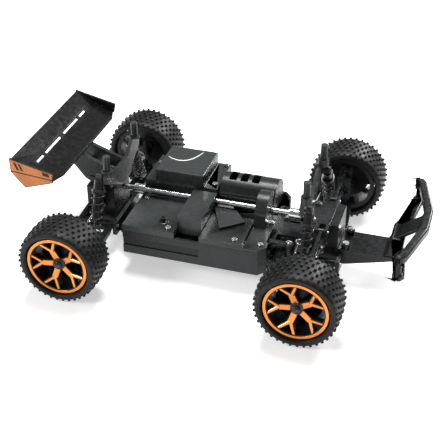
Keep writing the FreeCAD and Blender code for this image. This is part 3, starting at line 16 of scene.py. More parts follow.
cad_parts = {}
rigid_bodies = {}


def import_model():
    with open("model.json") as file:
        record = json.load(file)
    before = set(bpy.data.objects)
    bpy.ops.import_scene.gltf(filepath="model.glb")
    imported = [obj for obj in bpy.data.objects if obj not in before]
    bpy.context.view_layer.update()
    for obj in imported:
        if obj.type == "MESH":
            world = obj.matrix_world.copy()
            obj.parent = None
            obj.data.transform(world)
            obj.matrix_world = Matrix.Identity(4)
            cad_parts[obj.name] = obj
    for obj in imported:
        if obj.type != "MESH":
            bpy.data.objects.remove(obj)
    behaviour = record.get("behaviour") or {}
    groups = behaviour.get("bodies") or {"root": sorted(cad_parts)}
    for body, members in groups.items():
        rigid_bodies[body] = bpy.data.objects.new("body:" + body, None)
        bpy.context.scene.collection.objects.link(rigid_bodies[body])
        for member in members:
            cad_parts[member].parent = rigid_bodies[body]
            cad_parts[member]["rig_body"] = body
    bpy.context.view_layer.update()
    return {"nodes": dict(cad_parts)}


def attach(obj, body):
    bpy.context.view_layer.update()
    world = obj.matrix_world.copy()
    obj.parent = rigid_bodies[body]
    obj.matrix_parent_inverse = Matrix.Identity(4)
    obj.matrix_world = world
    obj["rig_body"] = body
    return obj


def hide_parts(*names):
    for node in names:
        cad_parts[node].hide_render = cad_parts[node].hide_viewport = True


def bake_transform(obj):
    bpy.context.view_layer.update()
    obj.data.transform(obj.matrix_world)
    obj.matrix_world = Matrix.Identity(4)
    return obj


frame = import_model()

# ---------------------------------------------------------------- black mouldings of the chassis
# Tub, gearboxes, arms, links, uprights, knuckles, cranks, relay, servo case, bumper and nose
# plate. Glass-filled nylon, satin black with a faint grain and paler worn edges. Each is one
# injection moulding with rounded corners, screwed to its neighbour or hung on steel pins.

PATCH_SIZE = 0.015
SMEAR_SIZE = 0.004
NOISE_LOW, NOISE_HIGH = 0.3, 0.7
FLAT_EDGE, WORN_EDGE = 0.51, 0.58
ROUGH_SWING = 0.08
RELIEF = 0.1
METAL_SHINE, PLASTIC_SHINE = 0.5, 0.24
SHARP_EDGE = math.radians(32)
FLAT_JOIN = math.radians(0.3)
SAME_POINT = 2e-6


def finish(name, colour, rough=0.5, metal=0.0, mottle=0.15, grain=0.2, grain_size=0.0006,
           wear=0.0, worn=(0.2, 0.2, 0.2), coat=0.0):
    """A procedural material on Object coordinates.

    colour' = colour (1 - mottle + 2 mottle n1), roughness' = rough + ROUGH_SWING (2 n2 - 1) and
    height = RELIEF grain_size n3 at strength grain. The noises n1, n2 and n3 are of PATCH_SIZE,
    SMEAR_SIZE and grain_size, the first two stretched from NOISE_LOW..NOISE_HIGH to 0..1.
    Edges blend towards the worn colour by wear as pointiness goes from FLAT_EDGE to WORN_EDGE.
    """
    material = bpy.data.materials.new(name)
    material.use_nodes = True
    nodes = material.node_tree.nodes
    links = material.node_tree.links
    shader = nodes["Principled BSDF"]
    shader.inputs["Base Color"].default_value = (*colour, 1)
    shader.inputs["Roughness"].default_value = rough
    shader.inputs["Metallic"].default_value = metal
    shader.inputs["Coat Weight"].default_value = coat
    shader.inputs["Coat Roughness"].default_value = 0.2
    shader.inputs["Specular IOR Level"].default_value = METAL_SHINE if metal else PLASTIC_SHINE
    place = nodes.new("ShaderNodeTexCoord").outputs["Object"]

    def noise(size, detail):
        item = nodes.new("ShaderNodeTexNoise")
        item.inputs["Scale"].default_value = 1 / size
        item.inputs["Detail"].default_value = detail
        links.new(place, item.inputs["Vector"])
        return item.outputs["Fac"]

    def spread(value, low, high, start, end):
        item = nodes.new("ShaderNodeMapRange")
        item.inputs["From Min"].default_value = low
        item.inputs["From Max"].default_value = high
        item.inputs["To Min"].default_value = start
        item.inputs["To Max"].default_value = end
        links.new(value, item.inputs["Value"])
        return item.outputs["Result"]

    def blended(factor, first, second):
        item = nodes.new("ShaderNodeMix")
        item.data_type = "RGBA"
        links.new(factor, item.inputs["Factor"])
        for value, socket in ((first, "A"), (second, "B")):
            target = [s for s in item.inputs if s.name == socket and s.type == "RGBA"][0]
            if isinstance(value, tuple):
                target.default_value = (*value, 1)
            else:
                links.new(value, target)
        return [s for s in item.outputs if s.type == "RGBA"][0]

    darker = tuple(c * (1 - mottle) for c in colour)
    lighter = tuple(min(1.0, c * (1 + mottle)) for c in colour)
    shade = blended(spread(noise(PATCH_SIZE, 3), NOISE_LOW, NOISE_HIGH, 0, 1), darker, lighter)
    if wear:
        pointiness = nodes.new("ShaderNodeNewGeometry").outputs["Pointiness"]
        shade = blended(spread(pointiness, FLAT_EDGE, WORN_EDGE, 0, wear), shade, worn)
    links.new(shade, shader.inputs["Base Color"])
    smear = spread(noise(SMEAR_SIZE, 2), NOISE_LOW, NOISE_HIGH, rough - ROUGH_SWING,
                   rough + ROUGH_SWING)
    links.new(smear, shader.inputs["Roughness"])
    bump = nodes.new("ShaderNodeBump")
    bump.inputs["Strength"].default_value = grain
    bump.inputs["Distance"].default_value = grain_size * RELIEF
    links.new(noise(grain_size, 2), bump.inputs["Height"])
    links.new(bump.outputs["Normal"], shader.inputs["Normal"])
    return material


def shown(name, mesh, material, body, replaced=()):
    """Put a mesh in the scene as a finished piece on a body, standing for the replaced nodes."""
    item = bpy.data.objects.new(name, mesh)
    bpy.context.scene.collection.objects.link(item)
    mesh.materials.clear()
    mesh.materials.append(material)
    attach(item, body)
    if replaced:
        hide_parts(*replaced)
    return item


def moulding(node, material, radius=0.00035):
    """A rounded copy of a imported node: its triangles merged into flat faces, and every edge
    sharper than SHARP_EDGE bevelled to the radius in two steps."""
    source = frame["nodes"][node]
    work = bmesh.new()
    work.from_mesh(source.data)
    bmesh.ops.remove_doubles(work, verts=work.verts, dist=SAME_POINT)
    bmesh.ops.dissolve_limit(work, angle_limit=FLAT_JOIN, verts=work.verts,
                             edges=work.edges)
    mesh = bpy.data.meshes.new(node + "_moulding")
    work.to_mesh(mesh)
    work.free()
    for extra in ("custom_normal", "sharp_edge", "sharp_face"):
        if extra in mesh.attributes:
            mesh.attributes.remove(mesh.attributes[extra])
    mesh.shade_smooth()
    mesh.set_sharp_from_angle(angle=SHARP_EDGE)
    item = shown(node + "_moulding", mesh, material, source["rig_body"], [node])
    if radius:
        bevel = item.modifiers.new("rounded", "BEVEL")
        bevel.limit_method = "ANGLE"
        bevel.angle_limit = SHARP_EDGE
        bevel.width = radius
        bevel.segments = 2
        bevel.harden_normals = True
    return item


CORNERS = ("fl", "fr", "rl", "rr")
FRONT = ("fl", "fr")
REAR = ("rl", "rr")
nylon = finish("black_nylon", (0.005, 0.0055, 0.006), 0.3, mottle=0.3, grain=0.06,
               grain_size=0.0012, wear=0.4, worn=(0.045, 0.047, 0.05), coat=0.03)
nylon_nodes = ["chassis_tub", "gearbox_front", "gearbox_rear", "steering_servo", "nose_plate",
               "steering_relay", "steering_crank_left", "steering_crank_right"]
nylon_nodes += [part + c for part in ("lower_arm_", "upper_link_") for c in CORNERS]
nylon_nodes += [part + c for part in ("hub_carrier_", "steering_knuckle_") for c in FRONT]
nylon_nodes += ["rear_upright_" + c for c in REAR]
for node in nylon_nodes:
    moulding(node, nylon)
# The bumper's bars have a wide round in three steps, let past the bevel's own clamp.
bumper = moulding("bumper", nylon, 0.0015)
bumper.modifiers["rounded"].use_clamp_overlap = False
bumper.modifiers["rounded"].segments = 3

# ---------------------------------------------------------------- covers
# Battery, electronics, main and motor covers. ABS lids 1.5 mm thick, dark olive grey, smoother
# than the chassis, with soft rounded corners; each rests on the tub's rim and is screwed down.

cover_abs = finish("cover_abs", (0.010, 0.0118, 0.0108), 0.27, mottle=0.14, grain=0.02,
                   grain_size=0.002, wear=0.4, worn=(0.09, 0.1, 0.1), coat=0.06)
for node, radius in (("battery_cover", 0.0018), ("electronics_cover", 0.0007),
                     ("main_cover", 0.0014), ("motor_cover", 0.0006)):
    moulding(node, cover_abs, radius)

# ---------------------------------------------------------------- shock towers
# Front and rear tower plates with their body posts. Stiffer grey-black nylon, satin; each is one
# moulding bolted to its gearbox, and the rear one carries the wing's stays.

tower_nylon = finish("tower_nylon", (0.022, 0.023, 0.024), 0.32, mottle=0.2, grain=0.12, wear=0.4,
                     worn=(0.14, 0.14, 0.14))
for node in ("shock_tower_front", "shock_tower_rear"):
    moulding(node, tower_nylon)

# ---------------------------------------------------------------- wing
# Rear wing: a slotted blade between two end plates. Thin glossy moulded sheet, black; held by
# the two stays of the rear tower. The right end plate has an orange outer face with plain
# dark slashes, printed flat on it.

wing_gloss = finish("wing_gloss", (0.006, 0.006, 0.0065), 0.24, mottle=0.2, grain=0.05, wear=0.4,
                    worn=(0.06, 0.06, 0.06), coat=0.2)
moulding("rear_wing", wing_gloss, 0.0003)

# ---------------------------------------------------------------- bare steel of the drive line
# Centre shaft with its spur gear, wheel shafts, tie rods and pinion. Turned and plated steel,
# bright with fine turning marks; each turns in its bearings or rides on its balls.

bright_steel = finish("bright_steel", (0.72, 0.73, 0.74), 0.2, metal=1.0, mottle=0.06, grain=0.08,
                      grain_size=0.0003)
gear_steel = finish("gear_steel", (0.34, 0.34, 0.35), 0.33, metal=1.0, mottle=0.12, grain=0.15)
for node in ["centre_shaft"] + ["drive_shaft_" + c for c in CORNERS]:
    moulding(node, bright_steel, 0)
for node in ["tie_rod_" + c for c in FRONT]:
    moulding(node, bright_steel, 0.00015)
for node in ("front_differential", "rear_differential", "motor_pinion"):
    moulding(node, gear_steel, 0)

# ---------------------------------------------------------------- motor, battery and screws
# Motor can of drawn steel, battery pack in black shrink wrap, and the zinc-plated screw heads and
# hinge pins. The motor and pack lie in the tub; the screws hold the covers and towers.

motor_steel = finish("motor_steel", (0.45, 0.45, 0.46), 0.35, metal=1.0, mottle=0.1, grain=0.1)
shrink_wrap = finish("shrink_wrap", (0.006, 0.0065, 0.007), 0.4, mottle=0.2, grain=0.1, coat=0.2)
screw_zinc = finish("screw_zinc", (0.62, 0.62, 0.6), 0.27, metal=1.0, mottle=0.08, grain=0.1)
moulding("drive_motor", motor_steel, 0.0004)
moulding("battery_pack", shrink_wrap, 0.0015)
moulding("screws_and_pins", screw_zinc, 0.0002)

# ---------------------------------------------------------------- shocks
# Four oil-filled shocks: a ribbed black body on the tower's stud, a dark rod to the arm and a
# black coil spring between their seats. The body is moulded, the rod turned and plated.

shock_black = finish("shock_black", (0.014, 0.014, 0.015), 0.3, mottle=0.2, grain=0.15, wear=0.4,
                     worn=(0.12, 0.12, 0.12), coat=0.2)
rod_steel = finish("rod_steel", (0.1, 0.1, 0.105), 0.3, metal=0.7, mottle=0.1, grain=0.1)
spring_steel = finish("spring_steel", (0.03, 0.03, 0.032), 0.36, metal=0.3, mottle=0.1, grain=0.05)
for c in CORNERS:
    moulding("shock_body_" + c, shock_black, 0.0003)
    moulding("shock_rod_" + c, rod_steel, 0.0002)


SMOOTH_LIMIT = math.radians(38)


def surface(name, points, wrap=(True, True), caps=False):
    """A mesh from a grid of points, quads between neighbours, closed round either way by wrap.
    With caps, the first and last rows are each closed by one face."""
    rows, columns = points.shape[:2]
    index = np.arange(rows * columns).reshape(rows, columns)
    here = index if wrap[0] else index[:-1]
    there = np.roll(index, -1, 0) if wrap[0] else index[1:]
    beside = np.roll(here, -1, 1) if wrap[1] else here[:, 1:]
    across = np.roll(there, -1, 1) if wrap[1] else there[:, 1:]
    if not wrap[1]:
        here, there = here[:, :-1], there[:, :-1]
    faces = np.stack([here, beside, across, there], -1).reshape(-1, 4).tolist()
    if caps:
        faces += [index[0].tolist(), index[-1, ::-1].tolist()]
    return solid(name, points.reshape(-1, 3), faces)


def solid(name, points, faces):
    """A mesh from points and faces, with repeated points merged and every face turned outwards."""
    mesh = bpy.data.meshes.new(name)
    mesh.from_pydata(points.tolist(), [], faces)
    work = bmesh.new()
    work.from_mesh(mesh)
    bmesh.ops.remove_doubles(work, verts=work.verts, dist=1e-7)
    bmesh.ops.recalc_face_normals(work, faces=work.faces)
    work.to_mesh(mesh)
    work.free()
    mesh.shade_smooth()
    mesh.set_sharp_from_angle(angle=SMOOTH_LIMIT)
    return mesh


CLOSED_TURNS = 0.8
STEPS_A_TURN = 26
WIRE_SIDES = 10


def coil(top, down, start, end, radius, wire, turns):
    """A compression spring: a round wire swept along
    p(t) = top + down h(t) + radius (cos t a + sin t b), t from 0 to 2 pi turns,
    where h climbs at one wire's width a turn over the last CLOSED_TURNS at each end, so that both
    ends are closed, and at an even pitch between."""
    steps = STEPS_A_TURN * turns + 1
    turn = np.linspace(0, turns, steps)
    closed = (turn < CLOSED_TURNS) | (turn > turns - CLOSED_TURNS)
    ends = 2 * CLOSED_TURNS
    pitch = np.where(closed, wire, (end - start - ends * wire) / (turns - ends))
    pitch = np.convolve(np.pad(pitch, 6, mode="edge"), np.ones(13) / 13, "valid")
    height = np.concatenate([[0], np.cumsum((pitch[1:] + pitch[:-1]) / 2)])
    height = start + wire / 2 + height / height[-1] * (end - start - wire)
    side = np.cross(down, (1, 0, 0))
    angle = 2 * np.pi * turn
    outward = np.cos(angle)[:, None] * np.array((1.0, 0, 0)) + np.sin(angle)[:, None] * side
    centre = top + height[:, None] * down + radius * outward
    along = np.gradient(centre, axis=0)
    along /= np.linalg.norm(along, axis=1)[:, None]
    binormal = np.cross(along, outward)
    ring = 2 * np.pi * np.arange(WIRE_SIDES) / WIRE_SIDES
    points = centre[:, None] + wire / 2 * (np.cos(ring)[None, :, None] * outward[:, None]
                                           + np.sin(ring)[None, :, None] * binormal[:, None])
    return points


SHOCK_OUT, SHOCK_DROP, SHOCK_LENGTH = 22, 48.8, 53.53
LEAN = (SHOCK_OUT / SHOCK_LENGTH, SHOCK_DROP / SHOCK_LENGTH)
SHOCK_TOP_Y = 0.03
SHOCK_TOP_Z = 0.068
SPRING_START, SPRING_END = 0.011, 0.044
SPRING_RADIUS = 0.0044
SPRING_WIRE = 0.0012
SPRING_TURNS = 7
SHOCK_X = {"f": 0.06775, "r": -0.09325}
for c in CORNERS:
    side = 1 if c[1] == "l" else -1
    top = np.array((SHOCK_X[c[0]], side * SHOCK_TOP_Y, SHOCK_TOP_Z))
    down = np.array((0, side * LEAN[0], -LEAN[1]))
    wire = coil(top, down, SPRING_START, SPRING_END, SPRING_RADIUS, SPRING_WIRE, SPRING_TURNS)
    mesh = surface("coil_spring_" + c, wire, (False, True), caps=True)
    spring = bpy.data.objects.new("coil_spring_" + c, mesh)
    bpy.context.scene.collection.objects.link(spring)
    mesh.materials.append(spring_steel)
    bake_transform(spring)
    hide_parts("coil_springs")

# ---------------------------------------------------------------- trim on the wing and covers
# An orange panel with plain dark slashes on the wing's right end, a thin white curved strip
# on the main cover, and the battery cover's screw boss on a raised ring. The panel is thin film
# pressed on, the boss a moulding with a washer face; all sit on their cover's own surface.

panel_orange = finish("panel_orange", (0.55, 0.17, 0.035), 0.32, mottle=0.15, grain=0.05, coat=0.3)
panel_dark = finish("panel_dark", (0.02, 0.012, 0.008), 0.35, mottle=0.2, grain=0.05)
stripe_white = finish("stripe_white", (0.85, 0.85, 0.83), 0.35, mottle=0.05, grain=0.05)


def prism(name, outline, low, high):
    """A flat film: the (x, z) outline drawn at y = low and y = high and joined round its edge."""
    outline = np.asarray(outline, float)
    count = len(outline)
    points = np.concatenate([np.insert(outline, 1, y, axis=1) for y in (low, high)])
    k = np.arange(count)
    sides = np.stack([k, (k + 1) % count, (k + 1) % count + count, k + count], -1).tolist()
    return solid(name, points, sides + [k.tolist(), (k[::-1] + count).tolist()])


PANEL_Y = -0.0594
FILM_OUT, FILM_IN, SLASH_OUT = 0.0001, 0.0002, 0.00017
panel = [(-0.1502, 0.0904), (-0.1502, 0.0803), (-0.1401, 0.0688), (-0.1181, 0.0761),
         (-0.1168, 0.0828)]
slashes = {
    "line": [(-0.1502, 0.0812), (-0.1502, 0.0804), (-0.1177, 0.0778), (-0.1176, 0.0786)],
    "slash_a": [(-0.1478, 0.0885), (-0.1457, 0.0885), (-0.1432, 0.0823), (-0.1453, 0.0825)],
    "slash_b": [(-0.1440, 0.0879), (-0.1423, 0.0877), (-0.1400, 0.0820), (-0.1417, 0.0822)],
    "slash_c": [(-0.1252, 0.0840), (-0.1200, 0.0832), (-0.1192, 0.0803), (-0.1244, 0.0808)],
}
mesh = prism("wing_panel", panel, PANEL_Y - FILM_OUT, PANEL_Y + FILM_IN)
shown("wing_panel", mesh, panel_orange, "root")
for label, outline in slashes.items():
    mesh = prism("wing_panel_" + label, outline, PANEL_Y - SLASH_OUT, PANEL_Y)
    shown("wing_panel_" + label, mesh, panel_dark, "root")


def ribbon(a, b, c, width, lift, steps=28):
    """A flat strip along the parabola (1-t)^2 a + 2 t (1-t) b + t^2 c, narrowing to its ends as
    width sqrt(sin(pi t)), lift thick."""
    a, b, c = (np.asarray(v, float) for v in (a, b, c))
    t = np.linspace(0.02, 0.98, steps)[:, None]
    line = (1 - t) ** 2 * a + 2 * t * (1 - t) * b + t ** 2 * c
    run = np.gradient(line, axis=0)
    side = np.stack([-run[:, 1], run[:, 0], np.zeros(steps)], -1)
    side *= width / 2 * np.sqrt(np.sin(np.pi * t)) / np.linalg.norm(side, axis=1)[:, None]
    up = np.array((0, 0, lift))
    return np.stack([line - side, line + side, line + side + up, line - side + up], 1)


STRIPE_Z = 0.05995
STRIPE_WIDTH, STRIPE_LIFT = 0.0012, 0.00015
# A thin white strip on the main cover, curved and narrowing to its ends.
stripe = ribbon((-0.0604, 0.0283, STRIPE_Z), (-0.0408, 0.0158, STRIPE_Z),
                (-0.0345, 0.0434, STRIPE_Z), STRIPE_WIDTH, STRIPE_LIFT)
mesh = surface("cover_stripe", stripe, (False, True), caps=True)
shown("cover_stripe", mesh, stripe_white, "root")

BOSS_X, BOSS_Y = -0.0430, -0.0320
BOSS_STEPS = 40
boss = [(0, 0.0389), (0.0041, 0.0389), (0.0041, 0.0396), (0.0036, 0.0399), (0.0024, 0.0398),
        (0.0019, 0.0402), (0.0018, 0.0432), (0.0014, 0.0436), (0.0011, 0.0436), (0.0010, 0.0420),
        (0, 0.0420)]
turn = 2 * np.pi * np.arange(BOSS_STEPS) / BOSS_STEPS
radius, height = np.array(boss).T
ring = np.stack([BOSS_X + np.cos(turn)[:, None] * radius, BOSS_Y + np.sin(turn)[:, None] * radius,
                 np.broadcast_to(height, (BOSS_STEPS, len(height)))], -1)
mesh = surface("battery_boss", ring, (True, False))
shown("battery_boss", mesh, cover_abs, "root")

# ---------------------------------------------------------------- tyres
# Four pin-spike tyres, soft black rubber, matt, paler where worn. Each is a hollow carcass stretched over
# its rim's two beads, with seven staggered rows of tapered pins moulded on the crown.

rubber = finish("tyre_rubber", (0.007, 0.0075, 0.0075), 0.48, mottle=0.35, grain=0.4,
                grain_size=0.0008, wear=0.3, worn=(0.035, 0.035, 0.035))
WHEEL_X = {"f": 0.07525, "r": -0.10075}
WHEEL_Y = 0.08525
WHEEL_Z = 0.031
WALL_RADIUS, WALL_HALF_DEPTH, WALL_HALF_WIDTH, WALL_POWER = 0.02640, 0.00315, 0.01475, 3.4
WALL_POINTS, WALL_STEPS = 44, 120
PIN_COUNT, PIN_ROWS = 38, 7
CROWN, PIN_TIP, PIN_SPREAD = 0.0295, 0.031, 0.0126
PIN_LEAN = math.radians(24)


def stood(points, c):
    """Wheel coordinates (x, y, outward h) set upright: (x, side h, -side y) plus the centre."""
    side = 1 if c[1] == "l" else -1
    x, y, h = np.moveaxis(points, -1, 0)
    centre = np.array((WHEEL_X[c[0]], side * WHEEL_Y, WHEEL_Z))
    return np.stack([x, side * h, -side * y], -1) + centre


def revolved(profile, steps):
    """A closed outline of (radius, h) turned about h: (r cos t, r sin t, h)."""
    turn = 2 * np.pi * np.arange(steps) / steps
    radius, height = np.asarray(profile, float).T
    return np.stack([np.cos(turn)[:, None] * radius, np.sin(turn)[:, None] * radius,
                     np.broadcast_to(height, (steps, len(height)))], -1)


def rounded(radius, half_depth, half_width, power, count, centre=0.0):
    """A superellipse: (radius + half_depth S(t), centre + half_width C(t)) where S and C are sin
    and cos to the power 2 / power, with their signs."""
    t = 2 * np.pi * (np.arange(count) + 0.5) / count
    s, k = np.sin(t), np.cos(t)
    return np.stack([radius + half_depth * np.sign(s) * np.abs(s) ** (2 / power),
                     centre + half_width * np.sign(k) * np.abs(k) ** (2 / power)], -1)


def pins(count, rows, crown, tip, half_width, lean):
    """Tapered eight-sided pins on a crowned tread.

    Row j stands at h_j, evenly across +-half_width, leaning a_j = lean h_j / half_width; its base
    is at radius crown - 1.3 mm (h_j / half_width)^2. Pin k of row j stands at
    2 pi (k + j / 2) / count, and its radius falls from 1.25 mm at the foot to 0.7 mm at the tip.
    """
    h = np.linspace(-half_width, half_width, rows)
    share = h / half_width
    base = crown - 0.0013 * share ** 2
    angle = lean * share
    height = (tip - 0.0011 * share ** 2 - base) / np.cos(angle)
    turn = 2 * np.pi * (np.arange(count)[None] + 0.5 * (np.arange(rows)[:, None] % 2)) / count
    out = np.stack([np.cos(turn), np.sin(turn), np.zeros_like(turn)], -1)
    along = np.stack([-np.sin(turn), np.cos(turn), np.zeros_like(turn)], -1)
    axis = np.array((0.0, 0, 1))
    up = np.cos(angle)[:, None, None] * out + np.sin(angle)[:, None, None] * axis
    across = -np.sin(angle)[:, None, None] * out + np.cos(angle)[:, None, None] * axis
    foot = base[:, None, None] * out + h[:, None, None] * axis
    levels = np.array((-0.15, 0.1, 0.88, 1.0))
    radii = np.array((0.00125, 0.00115, 0.00098, 0.0007))
    ring = 2 * np.pi * (np.arange(8) + 0.5) / 8
    shape = (np.cos(ring)[:, None] * along[:, :, None] + np.sin(ring)[:, None] * across[:, :, None])
    lift = (levels[None, :] * height[:, None])[:, None, :, None, None] * up[:, :, None, None]
    points = foot[:, :, None, None] + lift + radii[None, None, :, None, None] * shape[:, :, None]
    total = rows * count
    first = (np.arange(total) * 32)[:, None, None]
    level = np.arange(3)[None, :, None] * 8
    step = np.arange(8)[None, None, :]
    a = first + level + step
    b = first + level + (step + 1) % 8
    sides = np.stack([a, b, b + 8, a + 8], -1).reshape(-1, 4).tolist()
    tops = (first[:, 0] + 24 + np.arange(8)).tolist()
    return points.reshape(-1, 3), sides + tops + (first[:, 0] + np.arange(8)[::-1]).tolist()


for c in CORNERS:
    outline = rounded(WALL_RADIUS, WALL_HALF_DEPTH, WALL_HALF_WIDTH, WALL_POWER, WALL_POINTS)
    wall = revolved(outline, WALL_STEPS)
    carcass = surface("tyre_carcass_" + c, stood(wall, c))
    body = "wheel_" + c
    shown("tyre_carcass_" + c, carcass, rubber, body, ["tyre_" + c])
    points, faces = pins(PIN_COUNT, PIN_ROWS, CROWN, PIN_TIP, PIN_SPREAD, PIN_LEAN)
    tread = solid("tyre_pins_" + c, stood(points, c), faces)
    shown("tyre_pins_" + c, tread, rubber, body, ["tyre_" + c])

# ---------------------------------------------------------------- wheels
# Four wheels: a black barrel and spoke backs, five Y-shaped spokes and a lip with an orange
# metallic face, the stub axle with its cup, and a black domed nut that holds the wheel on. A
# black disc behind the spokes is painted shade that darkens the spoke windows.

rim_black = finish("rim_black", (0.004, 0.004, 0.0045), 0.35, mottle=0.2, grain=0.1, wear=0.2,
                   worn=(0.03, 0.03, 0.03))
rim_orange = finish("rim_orange", (0.72, 0.24, 0.045), 0.22, metal=0.9, mottle=0.15, grain=0.05,
                    coat=0.3)
FACE = 0.01305


def bars(start, end, width, top, depth, chamfer, turns=5, sections=8):
    """Chamfered bars between points of the wheel's face, repeated round the hub.

    start, end: (n, 2) points; width, top: (n, 2) values at start and end. Bar n at station t has
    its middle at start + t (end - start), its top at top(t) and the outline
    (+-w/2, -depth), (+-w/2, -chamfer), (+-(w/2 - chamfer), 0) across it.
    """
    start, end, width, top = (np.asarray(v, float) for v in (start, end, width, top))
    t = np.linspace(0, 1, sections)
    middle = start[:, None] + t[None, :, None] * (end - start)[:, None]
    run = (end - start) / np.linalg.norm(end - start, axis=1)[:, None]
    side = np.stack([-run[:, 1], run[:, 0]], -1)
    half = (width[:, :1] + (width[:, 1:] - width[:, :1]) * t) / 2
    level = top[:, :1] + (top[:, 1:] - top[:, :1]) * t
    sign = np.array((-1, 1, 1, 1, -1, -1.0))
    inner = np.array((0, 0, 0, 1, 1, 0.0)) * chamfer
    drop = np.array((depth, depth, chamfer, 0, 0, chamfer))
    offset = sign * (half[:, :, None] - inner)
    flat = middle[:, :, None] + offset[..., None] * side[:, None, None]
    height = level[:, :, None] - drop
    angle = 2 * np.pi * np.arange(turns) / turns
    cos, sin = np.cos(angle)[:, None, None, None], np.sin(angle)[:, None, None, None]
    x, y = flat[..., 0][None], flat[..., 1][None]
    points = np.stack([cos * x - sin * y, sin * x + cos * y,
                       np.broadcast_to(height[None], (turns, *height.shape))], -1)
    count = turns * len(start)
    first = (np.arange(count) * sections * 6)[:, None, None]
    row = np.arange(sections - 1)[None, :, None] * 6
    step = np.arange(6)[None, None, :]
    a = first + row + step
    b = first + row + (step + 1) % 6
    faces = np.stack([a, b, b + 6, a + 6], -1).reshape(-1, 4).tolist()
    faces += (first[:, 0] + np.arange(6)[::-1]).tolist()
    faces += (first[:, 0] + (sections - 1) * 6 + np.arange(6)).tolist()
    return points.reshape(-1, 3), faces


def polar(radius, degrees):
    """The point at a radius and an angle from x: (r cos a, r sin a)."""
    return (radius * math.cos(math.radians(degrees)), radius * math.sin(math.radians(degrees)))


SPOKE_ANGLE, ARM_ANGLE = 36, 17.5
STEM_RADIUS, FORK_RADIUS, ARM_RADIUS = 0.0042, 0.0118, 0.0218
FORK = polar(FORK_RADIUS, SPOKE_ANGLE)
BAR_STARTS = [polar(STEM_RADIUS, SPOKE_ANGLE), FORK, FORK]
BAR_ENDS = [FORK, polar(ARM_RADIUS, SPOKE_ANGLE + ARM_ANGLE),
            polar(ARM_RADIUS, SPOKE_ANGLE - ARM_ANGLE)]
BACK_WIDTHS = [(0.0054, 0.0052), (0.0036, 0.0028), (0.0036, 0.0028)]
BACK_TOPS = [(0.0086, 0.0101), (0.0101, 0.0122), (0.0101, 0.0122)]
BACK_DEPTH, BACK_CHAMFER = 0.0042, 0.0003
FACE_WIDTHS = [(0.0046, 0.0044), (0.0023, 0.0016), (0.0023, 0.0016)]
FACE_TOPS = [(0.0091, 0.0106), (0.0106, 0.0127), (0.0106, 0.0127)]
FACE_DEPTH, FACE_CHAMFER = 0.0007, 0.00025
LIP_RADIUS, LIP_HALF_DEPTH, LIP_HALF_WIDTH = 0.0220, 0.00118, 0.0006
LIP_POWER, LIP_POINTS, LIP_STEPS = 4, 20, 120
NUT_RADIUS, NUT_SHOULDER, NUT_RISE = 0.0036, 0.0103, 0.0022
for c in CORNERS:
    body = "wheel_" + c
    barrel = [(0.0198, -0.01175), (0.0231, -0.01175), (0.0231, -0.01035), (0.0213, -0.0101),
              (0.0213, 0.0112), (0.0231, 0.0115), (0.0231, 0.0126), (0.0202, 0.0126),
              (0.0198, 0.0105)]
    parts = {"rim_barrel_": revolved(barrel, 96),
             # painted shade: a black disc behind the spokes closes the windows where the wheel's inside
             # lies in shade
             "rim_shade_disc_": revolved([(0.0052, 0.0015), (0.0164, -0.0005), (0.0168, 0.0007),
                                    (0.0052, 0.0045)], 64),
             "rim_hub_": revolved([(0.00205, 0.0005), (0.005, 0.0005), (0.0056, 0.004),
                                   (0.0058, 0.0082), (0.0052, 0.0088), (0.00205, 0.0088)], 48)}
    for name, points in parts.items():
        mesh = surface(name + c, stood(points, c))
        shown(name + c, mesh, rim_black, body, replaced=["rim_" + c])
    points, faces = bars(BAR_STARTS, BAR_ENDS, BACK_WIDTHS, BACK_TOPS, BACK_DEPTH, BACK_CHAMFER)
    mesh = solid("rim_spokes_" + c, stood(points, c), faces)
    shown("rim_spokes_" + c, mesh, rim_black, body, replaced=["rim_" + c])
    points, faces = bars(BAR_STARTS, BAR_ENDS, FACE_WIDTHS, FACE_TOPS, FACE_DEPTH, FACE_CHAMFER)
    mesh = solid("rim_spoke_faces_" + c, stood(points, c), faces)
    shown("rim_spoke_faces_" + c, mesh, rim_orange, body, ["rim_" + c])
    outline = rounded(LIP_RADIUS, LIP_HALF_DEPTH, LIP_HALF_WIDTH, LIP_POWER, LIP_POINTS,
                      FACE - LIP_HALF_WIDTH)
    mesh = surface("rim_lip_" + c, stood(revolved(outline, LIP_STEPS), c))
    shown("rim_lip_" + c, mesh, rim_orange, body, ["rim_" + c])
    arc = np.linspace(0, math.pi / 2, 9)
    dome = np.stack([NUT_RADIUS * np.cos(arc), NUT_SHOULDER + NUT_RISE * np.sin(arc)], -1)
    nut = np.concatenate([[(0, 0.0086), (0.0045, 0.0086), (0.0046, 0.0096), (0.0038, 0.0102)],
                          dome])
    mesh = surface("wheel_nut_" + c, stood(revolved(nut, 36), c), (True, False))
    shown("wheel_nut_" + c, mesh, shock_black, body, replaced=["rim_" + c])

axle_steel = finish("axle_steel", (0.4, 0.4, 0.41), 0.32, metal=1.0, mottle=0.1, grain=0.1)
for c in CORNERS:
    axle = [(0, -0.0136), (0.0033, -0.0136), (0.0033, -0.01655), (0.0042, -0.01655),
            (0.0042, -0.0063), (0.002, -0.0063), (0.002, 0.0112), (0, 0.0112)]
    mesh = surface("stub_axle_" + c, stood(revolved(axle, 40), c), (True, False))
    shown("stub_axle_" + c, mesh, axle_steel, "wheel_" + c, replaced=["rim_" + c])

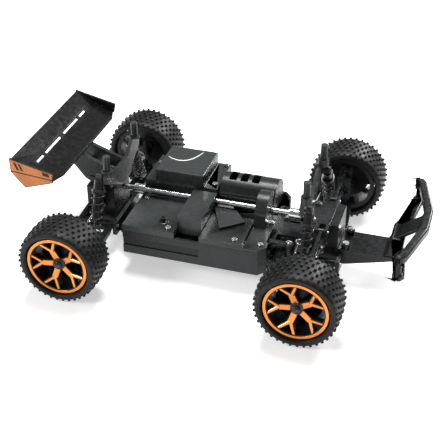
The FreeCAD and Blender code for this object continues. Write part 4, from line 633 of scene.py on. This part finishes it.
# ---------------------------------------------------------------- floor, light and camera
# A wide white paper floor with a glow of its own. Soft square lamps hang overhead, beyond the car
# and at the camera's left, and the camera has a long lens, set high on the car's right.
floor_mesh = bpy.data.meshes.new("floor")
FLOOR = 4
floor_mesh.from_pydata([(-FLOOR, -FLOOR, 0), (FLOOR, -FLOOR, 0), (FLOOR, FLOOR, 0),
                        (-FLOOR, FLOOR, 0)], [], [(0, 1, 2, 3)])
floor = bpy.data.objects.new("floor", floor_mesh)
bpy.context.scene.collection.objects.link(floor)
paper = finish("floor_paper", (0.9, 0.9, 0.9), 0.8, mottle=0.0, grain=0.0)
paper_shader = paper.node_tree.nodes["Principled BSDF"]
paper_shader.inputs["Emission Color"].default_value = (1, 1, 1, 1)
paper_shader.inputs["Emission Strength"].default_value = 0.5
floor_mesh.materials.append(paper)

world = bpy.data.worlds.new("studio")
world.use_nodes = True
world.node_tree.nodes["Background"].inputs["Color"].default_value = (1, 1, 1, 1)
world.node_tree.nodes["Background"].inputs["Strength"].default_value = 0.22
bpy.context.scene.world = world


def lamp(name, place, size, power):
    """A square soft light at a point, aimed at the middle of the car."""
    data = bpy.data.lights.new(name, "AREA")
    data.size = size
    data.energy = power
    item = bpy.data.objects.new(name, data)
    item.location = place
    item.rotation_mode = "QUATERNION"
    item.rotation_quaternion = (-item.location).to_track_quat("-Z", "Y")
    bpy.context.scene.collection.objects.link(item)


lamp("overhead", (-0.1, 0.35, 1.2), 0.5, 16)
lamp("front_left", (-0.9, -0.8, 0.8), 0.3, 8)
lamp("behind", (0.5, 1.2, 0.75), 0.35, 16)

EYE = (0.1845046, -0.6092574, 0.4518786)
YAW, PITCH, ROLL = 1.87750005, -0.586768642, -0.00724477557
LENS = 80.976
forward = np.array([math.cos(PITCH) * math.cos(YAW), math.cos(PITCH) * math.sin(YAW),
                    math.sin(PITCH)])
level = np.cross(forward, (0, 0, 1))
level /= np.linalg.norm(level)
above = np.cross(level, forward)
right = math.cos(ROLL) * level + math.sin(ROLL) * above
up = -math.sin(ROLL) * level + math.cos(ROLL) * above
camera = bpy.data.objects.new("camera", bpy.data.cameras.new("camera"))
camera.data.sensor_width = 36
camera.data.lens = LENS
camera.data.clip_start = 0.01
camera.data.clip_end = 50
turn = Matrix([[right[i], up[i], -forward[i]] for i in range(3)]).to_4x4()
camera.matrix_world = Matrix.Translation(EYE) @ turn
bpy.context.scene.collection.objects.link(camera)
bpy.context.scene.camera = camera
bpy.context.scene.view_settings.view_transform = "Standard"
